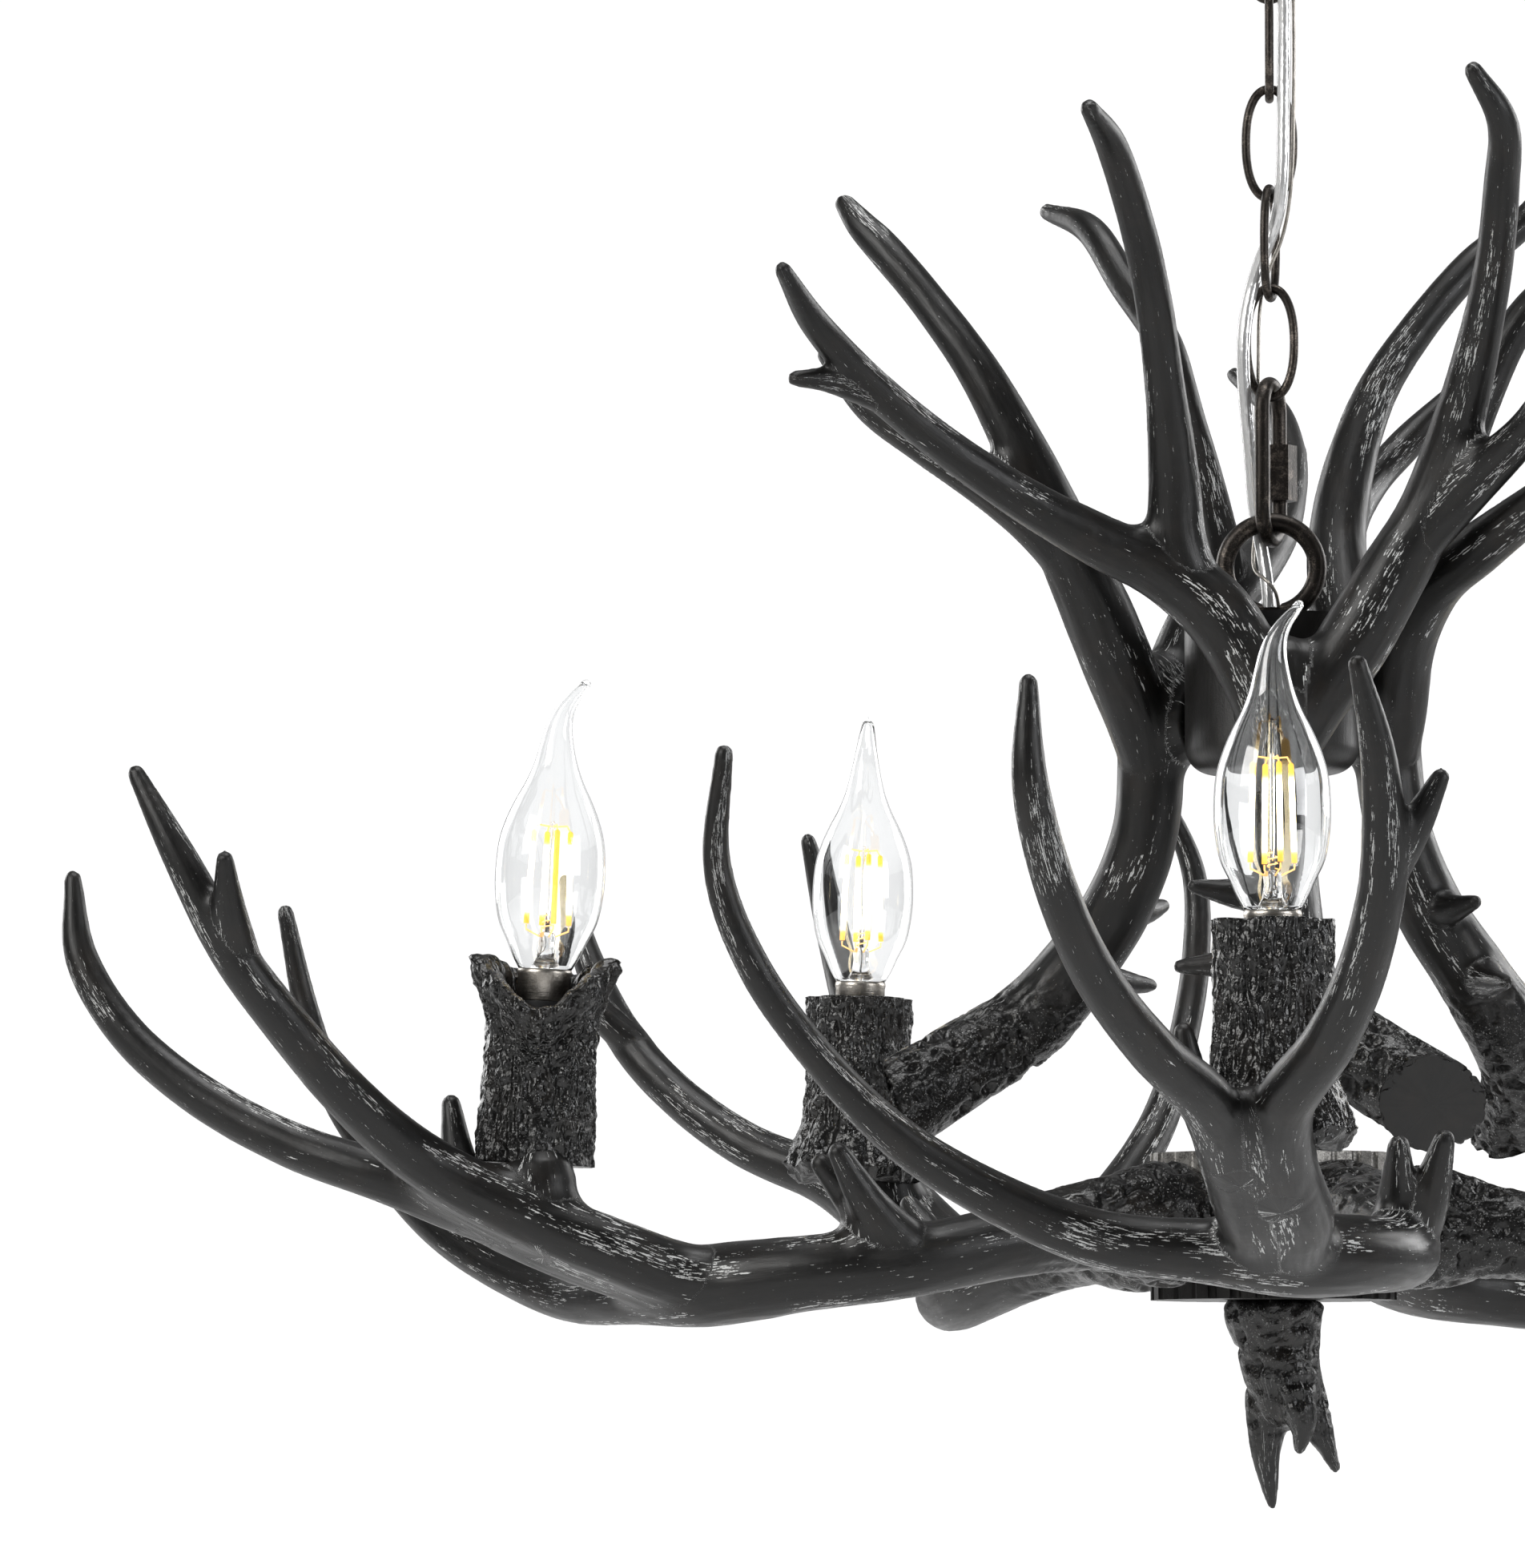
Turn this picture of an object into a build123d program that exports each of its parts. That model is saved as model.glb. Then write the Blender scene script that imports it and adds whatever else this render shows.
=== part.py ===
"""Antler chandelier: eight cast antlers on two hubs, five candle bulbs, hung on a chain.

Millimetres, +Z up.  The origin is the middle of the ceiling bracket, on the ceiling.
"""
import math
import os

from build123d import *

os.makedirs("parts", exist_ok=True)

# ---------------------------------------------------------------- driving dimensions
# clearances
hook_gap = 0.25  # between two wires that hang in each other
slip = 0.2  # between a stem or screw and its hole
thread_slip = 0.05  # between a screwed cap or nut and its thread
turn_gap = 0.4  # under a bulb's collar
head_slip = 0.5  # round a screw's head
hole_spare = 1.0  # a blind hole past the end of what is in it
thread_out = 3.0  # thread that shows past a nut

# ceiling bracket, canopy and loop
bracket_length = 96.0
bracket_width = 22.0
bracket_sheet = 2.0
bracket_drop = 10.0  # how far the middle of the strap hangs below the ceiling
bracket_foot = 30.0  # flat foot at each end
slot_inset = 12.0  # from a slot's middle to the strap's end
slot_length = 14.0
slot_width = 5.0
canopy_room = 4.0  # from the strap's end to the canopy's outside
canopy_depth = 31.0
canopy_sheet = 1.2
canopy_rim = 5.0  # upright part of the side
canopy_round = 22.0  # from the side to the flat underneath
canopy_shoulder = (5.7, 9.3)  # a point of the rounded side: in from the side, up from the flat
thread_radius = 5.0  # M10 stems, tube and nipples
nut_flats = 14.0
nut_height = 5.0
knurl_radius = 9.0
knurl_height = 5.0
knurl_chamfer = 1.0
loop_wire = 4.0
loop_radius = 9.0  # to the middle of the wire
loop_neck = 2.0  # from the knurled nut to the loop's outside
neck_radius = 6.0
grip_radius = 7.5
grip_height = 9.0
grip_taper = 12.0
grip_shoulder = 2.0  # from the grip's side to its threaded part
grip_thread = 4.0  # length inside the canopy
grip_offset = 17.0
grip_azimuth = -69.0
earth_offset = (-3.6, 2.2)  # the earth wire's hole, from the cord's

# chain
link_count = 6
link_length = 38.75
link_width = 18.4
link_wire = 2.9
link_turns = (90.0, 0.0, 90.0, 6.0, 76.0, -6.0)  # each link's plane, from +X

# quick link
quick_length = 55.8
quick_width = 24.0
quick_wire = 5.0
quick_turn = 73.0
quick_nut_length = 18.2
quick_nut_flats = 10.0
quick_nut_rise = 4.0  # above the start of the straight leg
quick_opening = 7.5
quick_travel = 9.0

# top loop: ring, bored boss and stem
ring_wire = 6.0
ring_radius = 15.0  # to the middle of the wire
ring_sink = 1.5  # the boss's top above the middle of the ring's wire
boss_radius = 8.2
boss_height = 2.7
boss_sink = 2.0  # into the hub's lid
cord_bore = 3.4
stem_reach = 12.0  # stem below the hub's lid

# upper hub
upper_hub_radius = 28.3
upper_hub_height = 51.0
upper_hub_wall = 8.3
upper_hub_floor = 6.0
upper_hub_round = 9.0
upper_seat_depth = 1.8  # of each antler's flat, into the side
lid_sheet = 4.0
lid_rim = 3.0  # wall of the hub round the lid
lid_relief = 1.6  # from a pad to the lid's flat
pad_width = 22.0
pad_height = 31.0
pad_corner = 3.0
pad_drop = 7.0  # pad's middle below the hub's middle
pad_length = 19.5

# lower hub
hub_spacing = 172.5  # between the hubs' middles
lower_hub_radius = 40.0
lower_hub_height = 47.4
lower_hub_wall = 9.0
lower_hub_roof = 5.0
lower_seat_depth = 1.7  # of each antler's flat, into the side
flute_count = 30
flute_radius = 1.9
cover_sheet = 4.0
seat_turn = 25.5  # a burr's seat, round from its candle

# antler screws
screw_radius = 3.0
screw_grip = 18.0  # length inside the antler
head_radius = 5.0
head_height = 4.0
spot_face = 0.8  # depth of the flat under a head, past the hub's bore

# candles
candle_radius = 246.0  # from the axis
stub_radius = 12.0
stub_root = 4.0  # the stub's foot below the antler's middle
cup_bore = 13.6
cup_floor = 4.0
holder_radius = 13.0
holder_nipple = 9.0
collar_radius = 8.6
collar_height = 10.0
cap_radius = 6.95
cap_length = 18.0
contact_radius = 3.5
contact_height = 3.0
glass_wall = 0.8
tube_end = 8.0  # centre tube below the lower hub's cover
tube_bore = 3.4

antler_facets = 8
upper_azimuths = (-90.0, 150.0, 30.0)
lower_azimuths = (-90.0, 198.0, 126.0, 54.0, -18.0)

# a lower antler's beam from its seat to the fork: share of the way out, across, up, radius
root_start = 42.0  # out from the axis
lower_root = [(0, 20, 0, 15), (0.344, 29, -2, 13), (0.667, 37, -9, 11.5)]
# its stations from the fork on: out from the candle, across, up from the hub's middle, radius
lower_crown = {
    "main": [(-108, 38, -15, 11.5), (-78, 27, -17, 12), (-54, 4, -17, 13), (-38, -25, -15, 9.8),
             (-27, -56, -10, 8.8), (-14, -85, 3, 7.6), (-1, -112, 21, 6.6), (11, -134, 45, 5.5),
             (21, -152, 73, 4.4), (27, -161, 103, 3.4), (34, -157, 136, 2.2)],
    "outer": [(-70, 20, -17, 8), (-46, -3, -14, 10), (-21, -9, -6, 10), (10, -14, 8, 9.5),
              (41, -20, 23, 8.5), (69, -36, 38, 7.4), (94, -51, 58, 6.6), (115, -61, 82, 5.8),
              (129, -67, 110, 4.7), (132, -67, 139, 2.5)],
    "inner": [(-70, 22, -17, 8), (-46, 6, -14, 10), (-21, 6, -6, 10), (10, 2, 8, 9.5),
              (39, 3, 23, 8.8), (65, 17, 39, 8), (88, 28, 60, 7.2), (108, 34, 84, 6.4),
              (123, 35, 113, 4.6), (136, 31, 141, 2.4)],
    "snag": [(104, 33, 80, 5), (110, 43, 96, 4), (113, 51, 110, 2)],
    "brow": [(-108, 38, -10, 6), (-95, 39, 1, 4.5), (-81, 39, 17, 2.5)],
    "second_brow": [(-107, 40, -10, 6), (-95, 46, 1, 4.5), (-81, 52, 19, 2.5)],
    "prong": [(18, -16, 8, 5.5), (20, -24, 28, 4.2), (20, -26, 47, 2.5)],
}
# stations of the upper antlers: out from the axis, across, up from the hub's middle, radius
upper_beams = {
    "stem": [(117, 42, -134, 12.2), (108, 22, -121, 12), (94, 7, -107, 12.5), (77, 2, -89, 12),
             (60, 1, -68, 11.5), (48, 1, -42, 11), (44, 3, -10, 11), (44, 3, 6, 10)],
    "left": [(44, 0, -20, 9), (43, -4, -4, 11), (40, -12, 14, 11.5), (39, -22, 27, 11.5),
             (40, -38, 38, 10), (43, -55, 45, 8.7), (50, -81, 58, 7.2), (61, -106, 73, 6.2),
             (76, -130, 90, 5.6), (95, -150, 108, 4.2), (120, -162, 123, 2)],
    "left_snag": [(74, -128, 88, 5), (83, -144, 92, 3.6), (89, -157, 92, 2)],
    "left_high": [(39, -22, 24, 9), (41, -31, 44, 9.5), (46, -33, 67, 8.2), (56, -37, 96, 6.4),
                  (68, -42, 123, 5.6), (88, -49, 144, 5), (108, -58, 164, 4.4), (132, -67, 173, 2.4)],
    "right": [(44, 5, -20, 9), (43, 13, -4, 11), (43, 25, 14, 11.8), (45, 36, 33, 11.2),
              (49, 48, 55, 9.8), (57, 56, 79, 8.6), (70, 62, 106, 7.1), (88, 65, 130, 6.2),
              (108, 65, 152, 5.2), (127, 63, 168, 4.2), (134, 53, 184, 2.3)],
    "right_low": [(47, 42, 42, 8), (54, 55, 57, 8.2), (65, 67, 69, 7.2), (80, 78, 81, 6),
                  (97, 85, 95, 5), (115, 85, 113, 2.4)],
    "brow": [(60, -2, -68, 7), (60, -15, -68, 4.8), (61, -28, -66, 2.5)],
    "second_brow": [(77, -3, -89, 7), (73, -17, -91, 4.8), (70, -33, -92, 2.5)],
}
tip_round = 0.6  # a tip's rounding, in its last radius
lower_pivot = (root_start, 20.0, 0.0)
upper_pivot = (30.0, 0.0, -22.5)
# how each casting sits in its seat: roll, pitch and turn in degrees
lower_leans = ((3.0, -1.7, 0.5), (8.4, 0.4, 4.0), (-11.8, 0.7, -4.7), (2.0, 0.5, 1.0), (-3.0, 0.5, 0.0))
upper_leans = ((-0.2, 0.0, 5.6), (-1.7, -0.6, -3.4), (1.9, 0.1, -2.4))

# burr round each lower antler's seat: distance from the seat, radius, depth of its pearls
burr_stations = ((0, 15.5, 1), (5, 18, 1.6), (13, 18.5, 1.8), (24, 16, 1.2), (33, 12.5, 0))
burr_pearls = 9

# candle heights above the lower hub's middle: under the cup, top of the cup, under the glass
candle_heights = ((17.5, 84.5, 87.7), (18.1, 85.1, 80.0), (21.6, 84.0, 90.0), (18.0, 84.5, 87.5),
                  (17.0, 83.5, 87.0))
candle_leans = (0.0, 3.0, 1.5, 0.0, 0.0)  # tops lean to the right of the picture
bulb_turns = (0.0, 0.0, 90.0, 200.0, 300.0)  # where each bent tip points
crown_up = (False, True, False, False, False)

# burr tube of a cup: height as a share of the cup, radius, depth of its ridges
crown_down_stations = ((0.0, 19.5, 2.6), (0.1, 22, 3), (0.22, 19, 1.6), (0.36, 17, 0.8), (0.7, 17, 0.7),
                       (1.0, 18.2, 0.8))
crown_up_stations = ((0.0, 17.6, 0.8), (0.3, 16.6, 0.8), (0.66, 17, 0.8), (0.82, 18.6, 1.2), (0.94, 22, 2.4),
                     (1.0, 22.6, 3))
cup_ridges = 9
scallop_depth = 13.0
scallop_reach = 60.0

# bulb: height above the glass's foot, radius, sideways bend
bulb_stations = ((0, 8.3, 0), (4, 10.6, 0), (9, 12.8, 0), (15, 15.6, 0), (22, 17, 0), (30, 17.5, 0),
                 (40, 16.9, 0), (47, 15.1, 0), (53.5, 12.4, 0), (60, 9.1, 0), (66, 6.7, 0.4), (72, 5.1, 1.4),
                 (78.5, 3.7, 3.2), (85, 2.5, 5.6), (90, 1.7, 7.9))
stem_radius = 3.4
stem_height = 12.0
stem_taper = 6.0
filament_count = 4
filament_radius = 0.8
filament_low = 14.0
filament_high = 44.0
support_radius = 0.5
support_height = 48.0
support_spread = 7.0

# finial: stations as on the antlers, from the axis and below the hub's cover
finial_beams = {
    "body": [(0, 0, 0, 15), (0, 0, -5, 14.6), (1, 0, -12, 12.6), (2, 0, -22, 11.3), (3, 0, -32, 9.5)],
    "long_prong": [(1, 2, -20, 8.5), (-2, 2, -34, 6.4), (-3, 2, -48, 4.8), (-2, 2, -58, 3.4), (-1, 2, -66, 1.8)],
    "front_prong": [(4, -4, -20, 7), (7, -8, -32, 5.2), (9, -9, -41, 3.6), (8, -9, -48, 1.9)],
    "right_prong": [(5, 2, -20, 8), (10, 3, -32, 5.6), (15, 3, -44, 3.8), (19.5, 3, -54, 1.9)],
}
connector_size = (14.0, 20.0, 12.0)
connector_round = 2.0
connector_offset = 17.0
connector_azimuth = 43.5

# cord and earth wire
cord_radius = 2.2
earth_radius = 0.6

# ---------------------------------------------------------------- sizes that follow
slot_spacing = bracket_length - 2 * slot_inset
canopy_radius = bracket_length / 2 + canopy_room
upper_flat = upper_hub_radius - upper_seat_depth
upper_hub_bore = upper_hub_radius - upper_hub_wall
lower_flat = lower_hub_radius - lower_seat_depth
lower_hub_bore = lower_hub_radius - lower_hub_wall
fork = candle_radius + lower_crown["main"][0][0]
lower_beams = {}
for beam, stations in lower_crown.items():
    lower_beams[beam] = [(candle_radius + out, across, up, radius) for out, across, up, radius in stations]
root_length = fork - root_start
root = [(root_start + share * root_length, across, up, radius) for share, across, up, radius in lower_root]
lower_beams["main"] = root + lower_beams["main"]

# ---------------------------------------------------------------- heights that follow
link_pitch = link_length - 2 * link_wire - hook_gap
canopy_floor = -canopy_depth
canopy_crown = canopy_radius - canopy_round
shoulder = (canopy_radius - canopy_shoulder[0], canopy_floor + canopy_shoulder[1])
knurl_floor = canopy_floor - knurl_height
loop_centre = knurl_floor - loop_neck - loop_radius - loop_wire / 2
hook_heights = [loop_centre - loop_radius]  # the middle of each wire that something hangs on
link_tops = []
upper_wire = loop_wire
for _ in range(link_count):
    link_tops.append(hook_heights[-1] + (upper_wire + link_wire) / 2 + hook_gap)
    hook_heights.append(link_tops[-1] - (link_length - link_wire))
    upper_wire = link_wire
quick_top = hook_heights[-1] + (link_wire + quick_wire) / 2 + hook_gap
hook_heights.append(quick_top - (quick_length - quick_wire))
ring_top = hook_heights[-1] + (quick_wire + ring_wire) / 2 + hook_gap
ring_centre = ring_top - ring_radius
boss_top = ring_centre - ring_radius + ring_sink
upper_roof = boss_top - boss_height
upper_centre = upper_roof - upper_hub_height / 2
upper_floor = upper_roof - upper_hub_height
lower_centre = upper_centre - hub_spacing
lower_roof = lower_centre + lower_hub_height / 2
lower_floor = lower_centre - lower_hub_height / 2
tube_top = upper_floor + upper_hub_floor + nut_height + thread_out
tube_bottom = lower_floor - tube_end
print("lower hub's middle:", round(lower_centre, 2), " ring:", round(ring_centre, 2))
print("hooks:", [round(height, 3) for height in hook_heights])


def finish(piece, name):
    """Label the finished piece and write it."""
    piece.part.label = name
    export_step(piece.part, f"parts/{name}.step")


def polar(radius, azimuth, height):
    """A point at a radius and azimuth round the axis."""
    angle = math.radians(azimuth)
    return (radius * math.cos(angle), radius * math.sin(angle), height)


def radial_plane(radius, azimuth, height):
    """A plane that faces away from the axis, with its own Y upright."""
    angle = math.radians(azimuth)
    return Plane(
        origin=polar(radius, azimuth, height),
        x_dir=(-math.sin(angle), math.cos(angle), 0),
        z_dir=(math.cos(angle), math.sin(angle), 0),
    )


def beam_planes(stations):
    """Planes square to a beam at its stations, none turned against the one before."""
    points = [Vector(*station[:3]) for station in stations]
    ends = [points[0]] + points + [points[-1]]
    across = None
    planes = []
    for index, point in enumerate(points):
        along = (ends[index + 2] - ends[index]).normalized()
        if across is None:
            across = along.cross(Vector(0.3, 0.2, 0.93)).normalized()
        across = (across - along * across.dot(along)).normalized()
        planes.append(Plane(origin=point, x_dir=across, z_dir=along))
    return planes


def ridged(radius, ridges, depth):
    """Corners of an outline with ridges and furrows, half a depth out and in."""
    corners = []
    for index in range(2 * ridges):
        angle = math.pi * index / ridges
        reach = radius + (depth if index % 2 else -depth) / 2
        corners.append((reach * math.cos(angle), reach * math.sin(angle)))
    return corners


def build_beams(beams):
    """Faceted tapering beams with rounded tips, joined in one casting."""
    with BuildPart() as casting:
        for stations in beams.values():
            planes = beam_planes(stations)
            for plane, station in zip(planes, stations):
                with BuildSketch(plane):
                    RegularPolygon(station[3], antler_facets)
            tip = stations[-1][3]
            with BuildSketch(planes[-1].offset(tip_round * tip)):
                RegularPolygon(tip * (1 - tip_round), antler_facets)
            loft(ruled=True)
    return casting.part


def wire_link(length, width, wire, centre, turn):
    """An upright closed link of round wire, its plane turned from +X."""
    angle = math.radians(turn)
    side = Plane(origin=(0, 0, centre), x_dir=(0, 0, 1), z_dir=(-math.sin(angle), math.cos(angle), 0))
    with BuildSketch(side) as outline:
        SlotOverall(length - wire, width - wire)
    path = outline.sketch.face().outer_wire()
    with BuildPart() as link:
        with BuildSketch(Plane(origin=path @ 0, z_dir=path % 0)):
            Circle(wire / 2)
        sweep(path=path)
    return link


def cord_tube(name, points, radius):
    """A tube along straight runs joined by arcs as large as the runs allow."""
    radii = []
    for before, corner, after in zip(points, points[1:], points[2:]):
        arriving = Vector(*corner) - Vector(*before)
        leaving = Vector(*after) - Vector(*corner)
        turn = math.radians(arriving.get_angle(leaving))
        radii.append(0.45 * min(arriving.length, leaving.length) / math.tan(turn / 2))
    print(name, "arc radii:", [round(value) for value in radii])
    with BuildPart() as tube:
        with BuildLine() as route:
            FilletPolyline(*points, radius=radii)
        path = route.wires()[0]
        with BuildSketch(Plane(origin=path @ 0, z_dir=path % 0)):
            Circle(radius)
        sweep(path=path)
    print(name, "length:", round(path.length, 1), "volume:", round(tube.part.volume),
          "against", round(path.length * math.pi * radius**2))
    finish(tube, name)


# ---------------------------------------------------------------- ceiling bracket
with BuildPart() as ceiling_bracket:
    half = bracket_length / 2
    foot = half - bracket_foot
    dip = foot - bracket_drop / 2
    middle = -bracket_sheet / 2
    with BuildSketch(Plane.XZ):
        with BuildLine():
            Polyline((-half, middle), (-foot, middle), (-dip, middle - bracket_drop),
                     (dip, middle - bracket_drop), (foot, middle), (half, middle))
        trace(line_width=bracket_sheet)
    extrude(amount=bracket_width / 2, both=True)
    with BuildSketch():
        with Locations((-slot_spacing / 2, 0), (slot_spacing / 2, 0)):
            SlotOverall(slot_length, slot_width)
    extrude(amount=-bracket_sheet, mode=Mode.SUBTRACT)
    with BuildSketch(Plane.XY.offset(-bracket_drop)):
        Circle(thread_radius + slip)
    extrude(amount=-bracket_sheet, mode=Mode.SUBTRACT)
finish(ceiling_bracket, "ceiling_bracket")

# lock nuts on the loop's stem, above and below the strap
stem_top = -bracket_drop + nut_height + thread_out
with BuildPart() as bracket_nuts:
    for seat in (-bracket_drop, -bracket_drop - bracket_sheet - nut_height):
        with BuildSketch(Plane.XY.offset(seat)):
            RegularPolygon(nut_flats / 2, 6, major_radius=False)
            Circle(thread_radius + thread_slip, mode=Mode.SUBTRACT)
        extrude(amount=nut_height)
finish(bracket_nuts, "bracket_nuts")

# ---------------------------------------------------------------- canopy, loop and cord grip
grip_centre = polar(grip_offset, grip_azimuth, canopy_floor)
with BuildPart() as ceiling_canopy:
    with BuildSketch(Plane.XZ):
        with BuildLine():
            Polyline((canopy_radius, -canopy_rim), (canopy_radius, 0), (0, 0), (0, canopy_floor),
                     (canopy_crown, canopy_floor))
            ThreePointArc((canopy_radius, -canopy_rim), shoulder, (canopy_crown, canopy_floor))
        make_face()
    revolve(axis=Axis.Z)
    offset(amount=-canopy_sheet, openings=ceiling_canopy.faces().sort_by(Axis.Z)[-1])
    with BuildSketch(Plane.XY.offset(canopy_floor)):
        Circle(thread_radius + slip)
        with Locations(grip_centre[:2]):
            Circle(grip_radius - grip_shoulder)
    extrude(amount=canopy_sheet, mode=Mode.SUBTRACT)
finish(ceiling_canopy, "ceiling_canopy")

with BuildPart() as cord_grip:
    with BuildSketch(Plane.XY.offset(canopy_floor)):
        with Locations(grip_centre[:2]):
            Circle(grip_radius)
    extrude(amount=-grip_height, taper=grip_taper)
    with BuildSketch(Plane.XY.offset(canopy_floor)):
        with Locations(grip_centre[:2]):
            Circle(grip_radius - grip_shoulder - slip)
    extrude(amount=canopy_sheet + grip_thread)
    with BuildSketch(Plane.XY.offset(canopy_floor - grip_height)):
        with Locations(grip_centre[:2]):
            Circle(cord_radius + slip)
            with Locations(earth_offset):
                Circle(earth_radius + slip)
    extrude(amount=grip_height + canopy_sheet + grip_thread, mode=Mode.SUBTRACT)
finish(cord_grip, "cord_grip")

with BuildPart() as canopy_nut:
    with BuildSketch(Plane.XY.offset(knurl_floor)):
        Circle(knurl_radius)
        Circle(thread_radius + thread_slip, mode=Mode.SUBTRACT)
    extrude(amount=knurl_height)
    lower_edges = canopy_nut.edges().filter_by(GeomType.CIRCLE).group_by(Axis.Z)[0]
    chamfer(lower_edges.sort_by(SortBy.RADIUS)[-1], knurl_chamfer)
finish(canopy_nut, "canopy_nut")

with BuildPart() as canopy_loop:
    with BuildSketch(Plane.XY.offset(loop_centre)):
        with Locations((loop_radius, 0)):
            Circle(loop_wire / 2)
    revolve(axis=Axis((0, 0, loop_centre), (0, 1, 0)))
    with BuildSketch(Plane.XY.offset(loop_centre + loop_radius)):
        Circle(neck_radius)
    extrude(amount=knurl_floor - loop_centre - loop_radius)
    with BuildSketch(Plane.XY.offset(knurl_floor)):
        Circle(thread_radius)
    extrude(amount=stem_top - knurl_floor)
finish(canopy_loop, "canopy_loop")

# ---------------------------------------------------------------- chain
for index in range(link_count):
    centre = link_tops[index] - (link_length - link_wire) / 2
    chain_link = wire_link(link_length, link_width, link_wire, centre, link_turns[index])
    finish(chain_link, f"chain_link_{index + 1}")

# ---------------------------------------------------------------- quick link and its nut
quick_centre = quick_top - (quick_length - quick_wire) / 2
quick_leg = (quick_width - quick_wire) / 2
leg_floor = quick_centre - (quick_length - quick_width) / 2
quick_nut_floor = leg_floor + quick_nut_rise
nut_leg = polar(quick_leg, quick_turn, quick_nut_floor)
with BuildPart() as quick_link:
    add(wire_link(quick_length, quick_width, quick_wire, quick_centre, quick_turn).part)
    opening_floor = quick_nut_floor + (quick_nut_length - quick_travel - quick_opening) / 2
    with BuildSketch(Plane.XY.offset(opening_floor)):
        with Locations(nut_leg[:2]):
            Circle(quick_wire)
    extrude(amount=quick_opening, mode=Mode.SUBTRACT)
finish(quick_link, "quick_link")

with BuildPart() as quick_link_nut:
    with BuildSketch(Plane.XY.offset(quick_nut_floor)):
        with Locations(nut_leg[:2]):
            RegularPolygon(quick_nut_flats / 2, 6, major_radius=False)
            Circle(quick_wire / 2 + thread_slip, mode=Mode.SUBTRACT)
    extrude(amount=quick_nut_length)
finish(quick_link_nut, "quick_link_nut")

# ---------------------------------------------------------------- top loop
with BuildPart() as top_loop:
    with BuildSketch(Plane.XY.offset(ring_centre)):
        with Locations((ring_radius, 0)):
            Circle(ring_wire / 2)
    revolve(axis=Axis((0, 0, ring_centre), (0, 1, 0)))
    with BuildSketch(Plane.XY.offset(upper_roof - boss_sink)):
        Circle(boss_radius)
    extrude(amount=boss_sink + boss_height)
    with BuildSketch(Plane.XY.offset(upper_roof - stem_reach)):
        Circle(thread_radius)
    extrude(amount=stem_reach)
    with BuildSketch(Plane.XY.offset(upper_roof - stem_reach)):
        Circle(cord_bore)
    extrude(amount=stem_reach + boss_height + ring_wire, mode=Mode.SUBTRACT)
finish(top_loop, "top_loop")

# ---------------------------------------------------------------- upper hub
screw_seat_upper = upper_hub_bore + spot_face
pad_centre = upper_centre - pad_drop
with BuildPart() as upper_hub:
    with BuildSketch(Plane.XY.offset(upper_floor)):
        Circle(upper_hub_radius)
    extrude(amount=upper_hub_height)
    fillet(upper_hub.edges().filter_by(GeomType.CIRCLE).sort_by(Axis.Z)[0], upper_hub_round)
    for azimuth in upper_azimuths:
        with BuildSketch(radial_plane(upper_flat, azimuth, pad_centre)):
            Rectangle(pad_width, pad_height)
        extrude(amount=upper_hub_radius, mode=Mode.SUBTRACT)
    with BuildSketch(Plane.XY.offset(upper_floor + upper_hub_floor)):
        Circle(upper_hub_bore)
    extrude(amount=upper_hub_height, mode=Mode.SUBTRACT)
    with BuildSketch(Plane.XY.offset(upper_roof - lid_sheet)):
        Circle(upper_hub_radius - lid_rim)
    extrude(amount=lid_sheet, mode=Mode.SUBTRACT)
    with BuildSketch(Plane.XY.offset(upper_floor)):
        Circle(thread_radius + slip)
    extrude(amount=upper_hub_floor, mode=Mode.SUBTRACT)
    for azimuth in upper_azimuths:
        with BuildSketch(radial_plane(0, azimuth, pad_centre)):
            Circle(head_radius + head_slip)
        extrude(amount=screw_seat_upper, mode=Mode.SUBTRACT)
        with BuildSketch(radial_plane(0, azimuth, pad_centre)):
            Circle(screw_radius + slip)
        extrude(amount=upper_hub_radius, mode=Mode.SUBTRACT)
finish(upper_hub, "upper_hub")

with BuildPart() as upper_hub_lid:
    with BuildSketch(Plane.XY.offset(upper_roof - lid_sheet)):
        Circle(upper_hub_radius - lid_rim - slip)
        Circle(thread_radius + slip, mode=Mode.SUBTRACT)
    extrude(amount=lid_sheet)
    with BuildSketch(Plane.XY.offset(upper_roof)):
        Circle(boss_radius + slip)
    extrude(amount=-boss_sink, mode=Mode.SUBTRACT)
    for azimuth in upper_azimuths:
        with BuildSketch(radial_plane(upper_flat - lid_relief, azimuth, upper_roof)):
            Rectangle(upper_hub_radius, 3 * lid_sheet)
        extrude(amount=upper_hub_radius, mode=Mode.SUBTRACT)
finish(upper_hub_lid, "upper_hub_lid")

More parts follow.
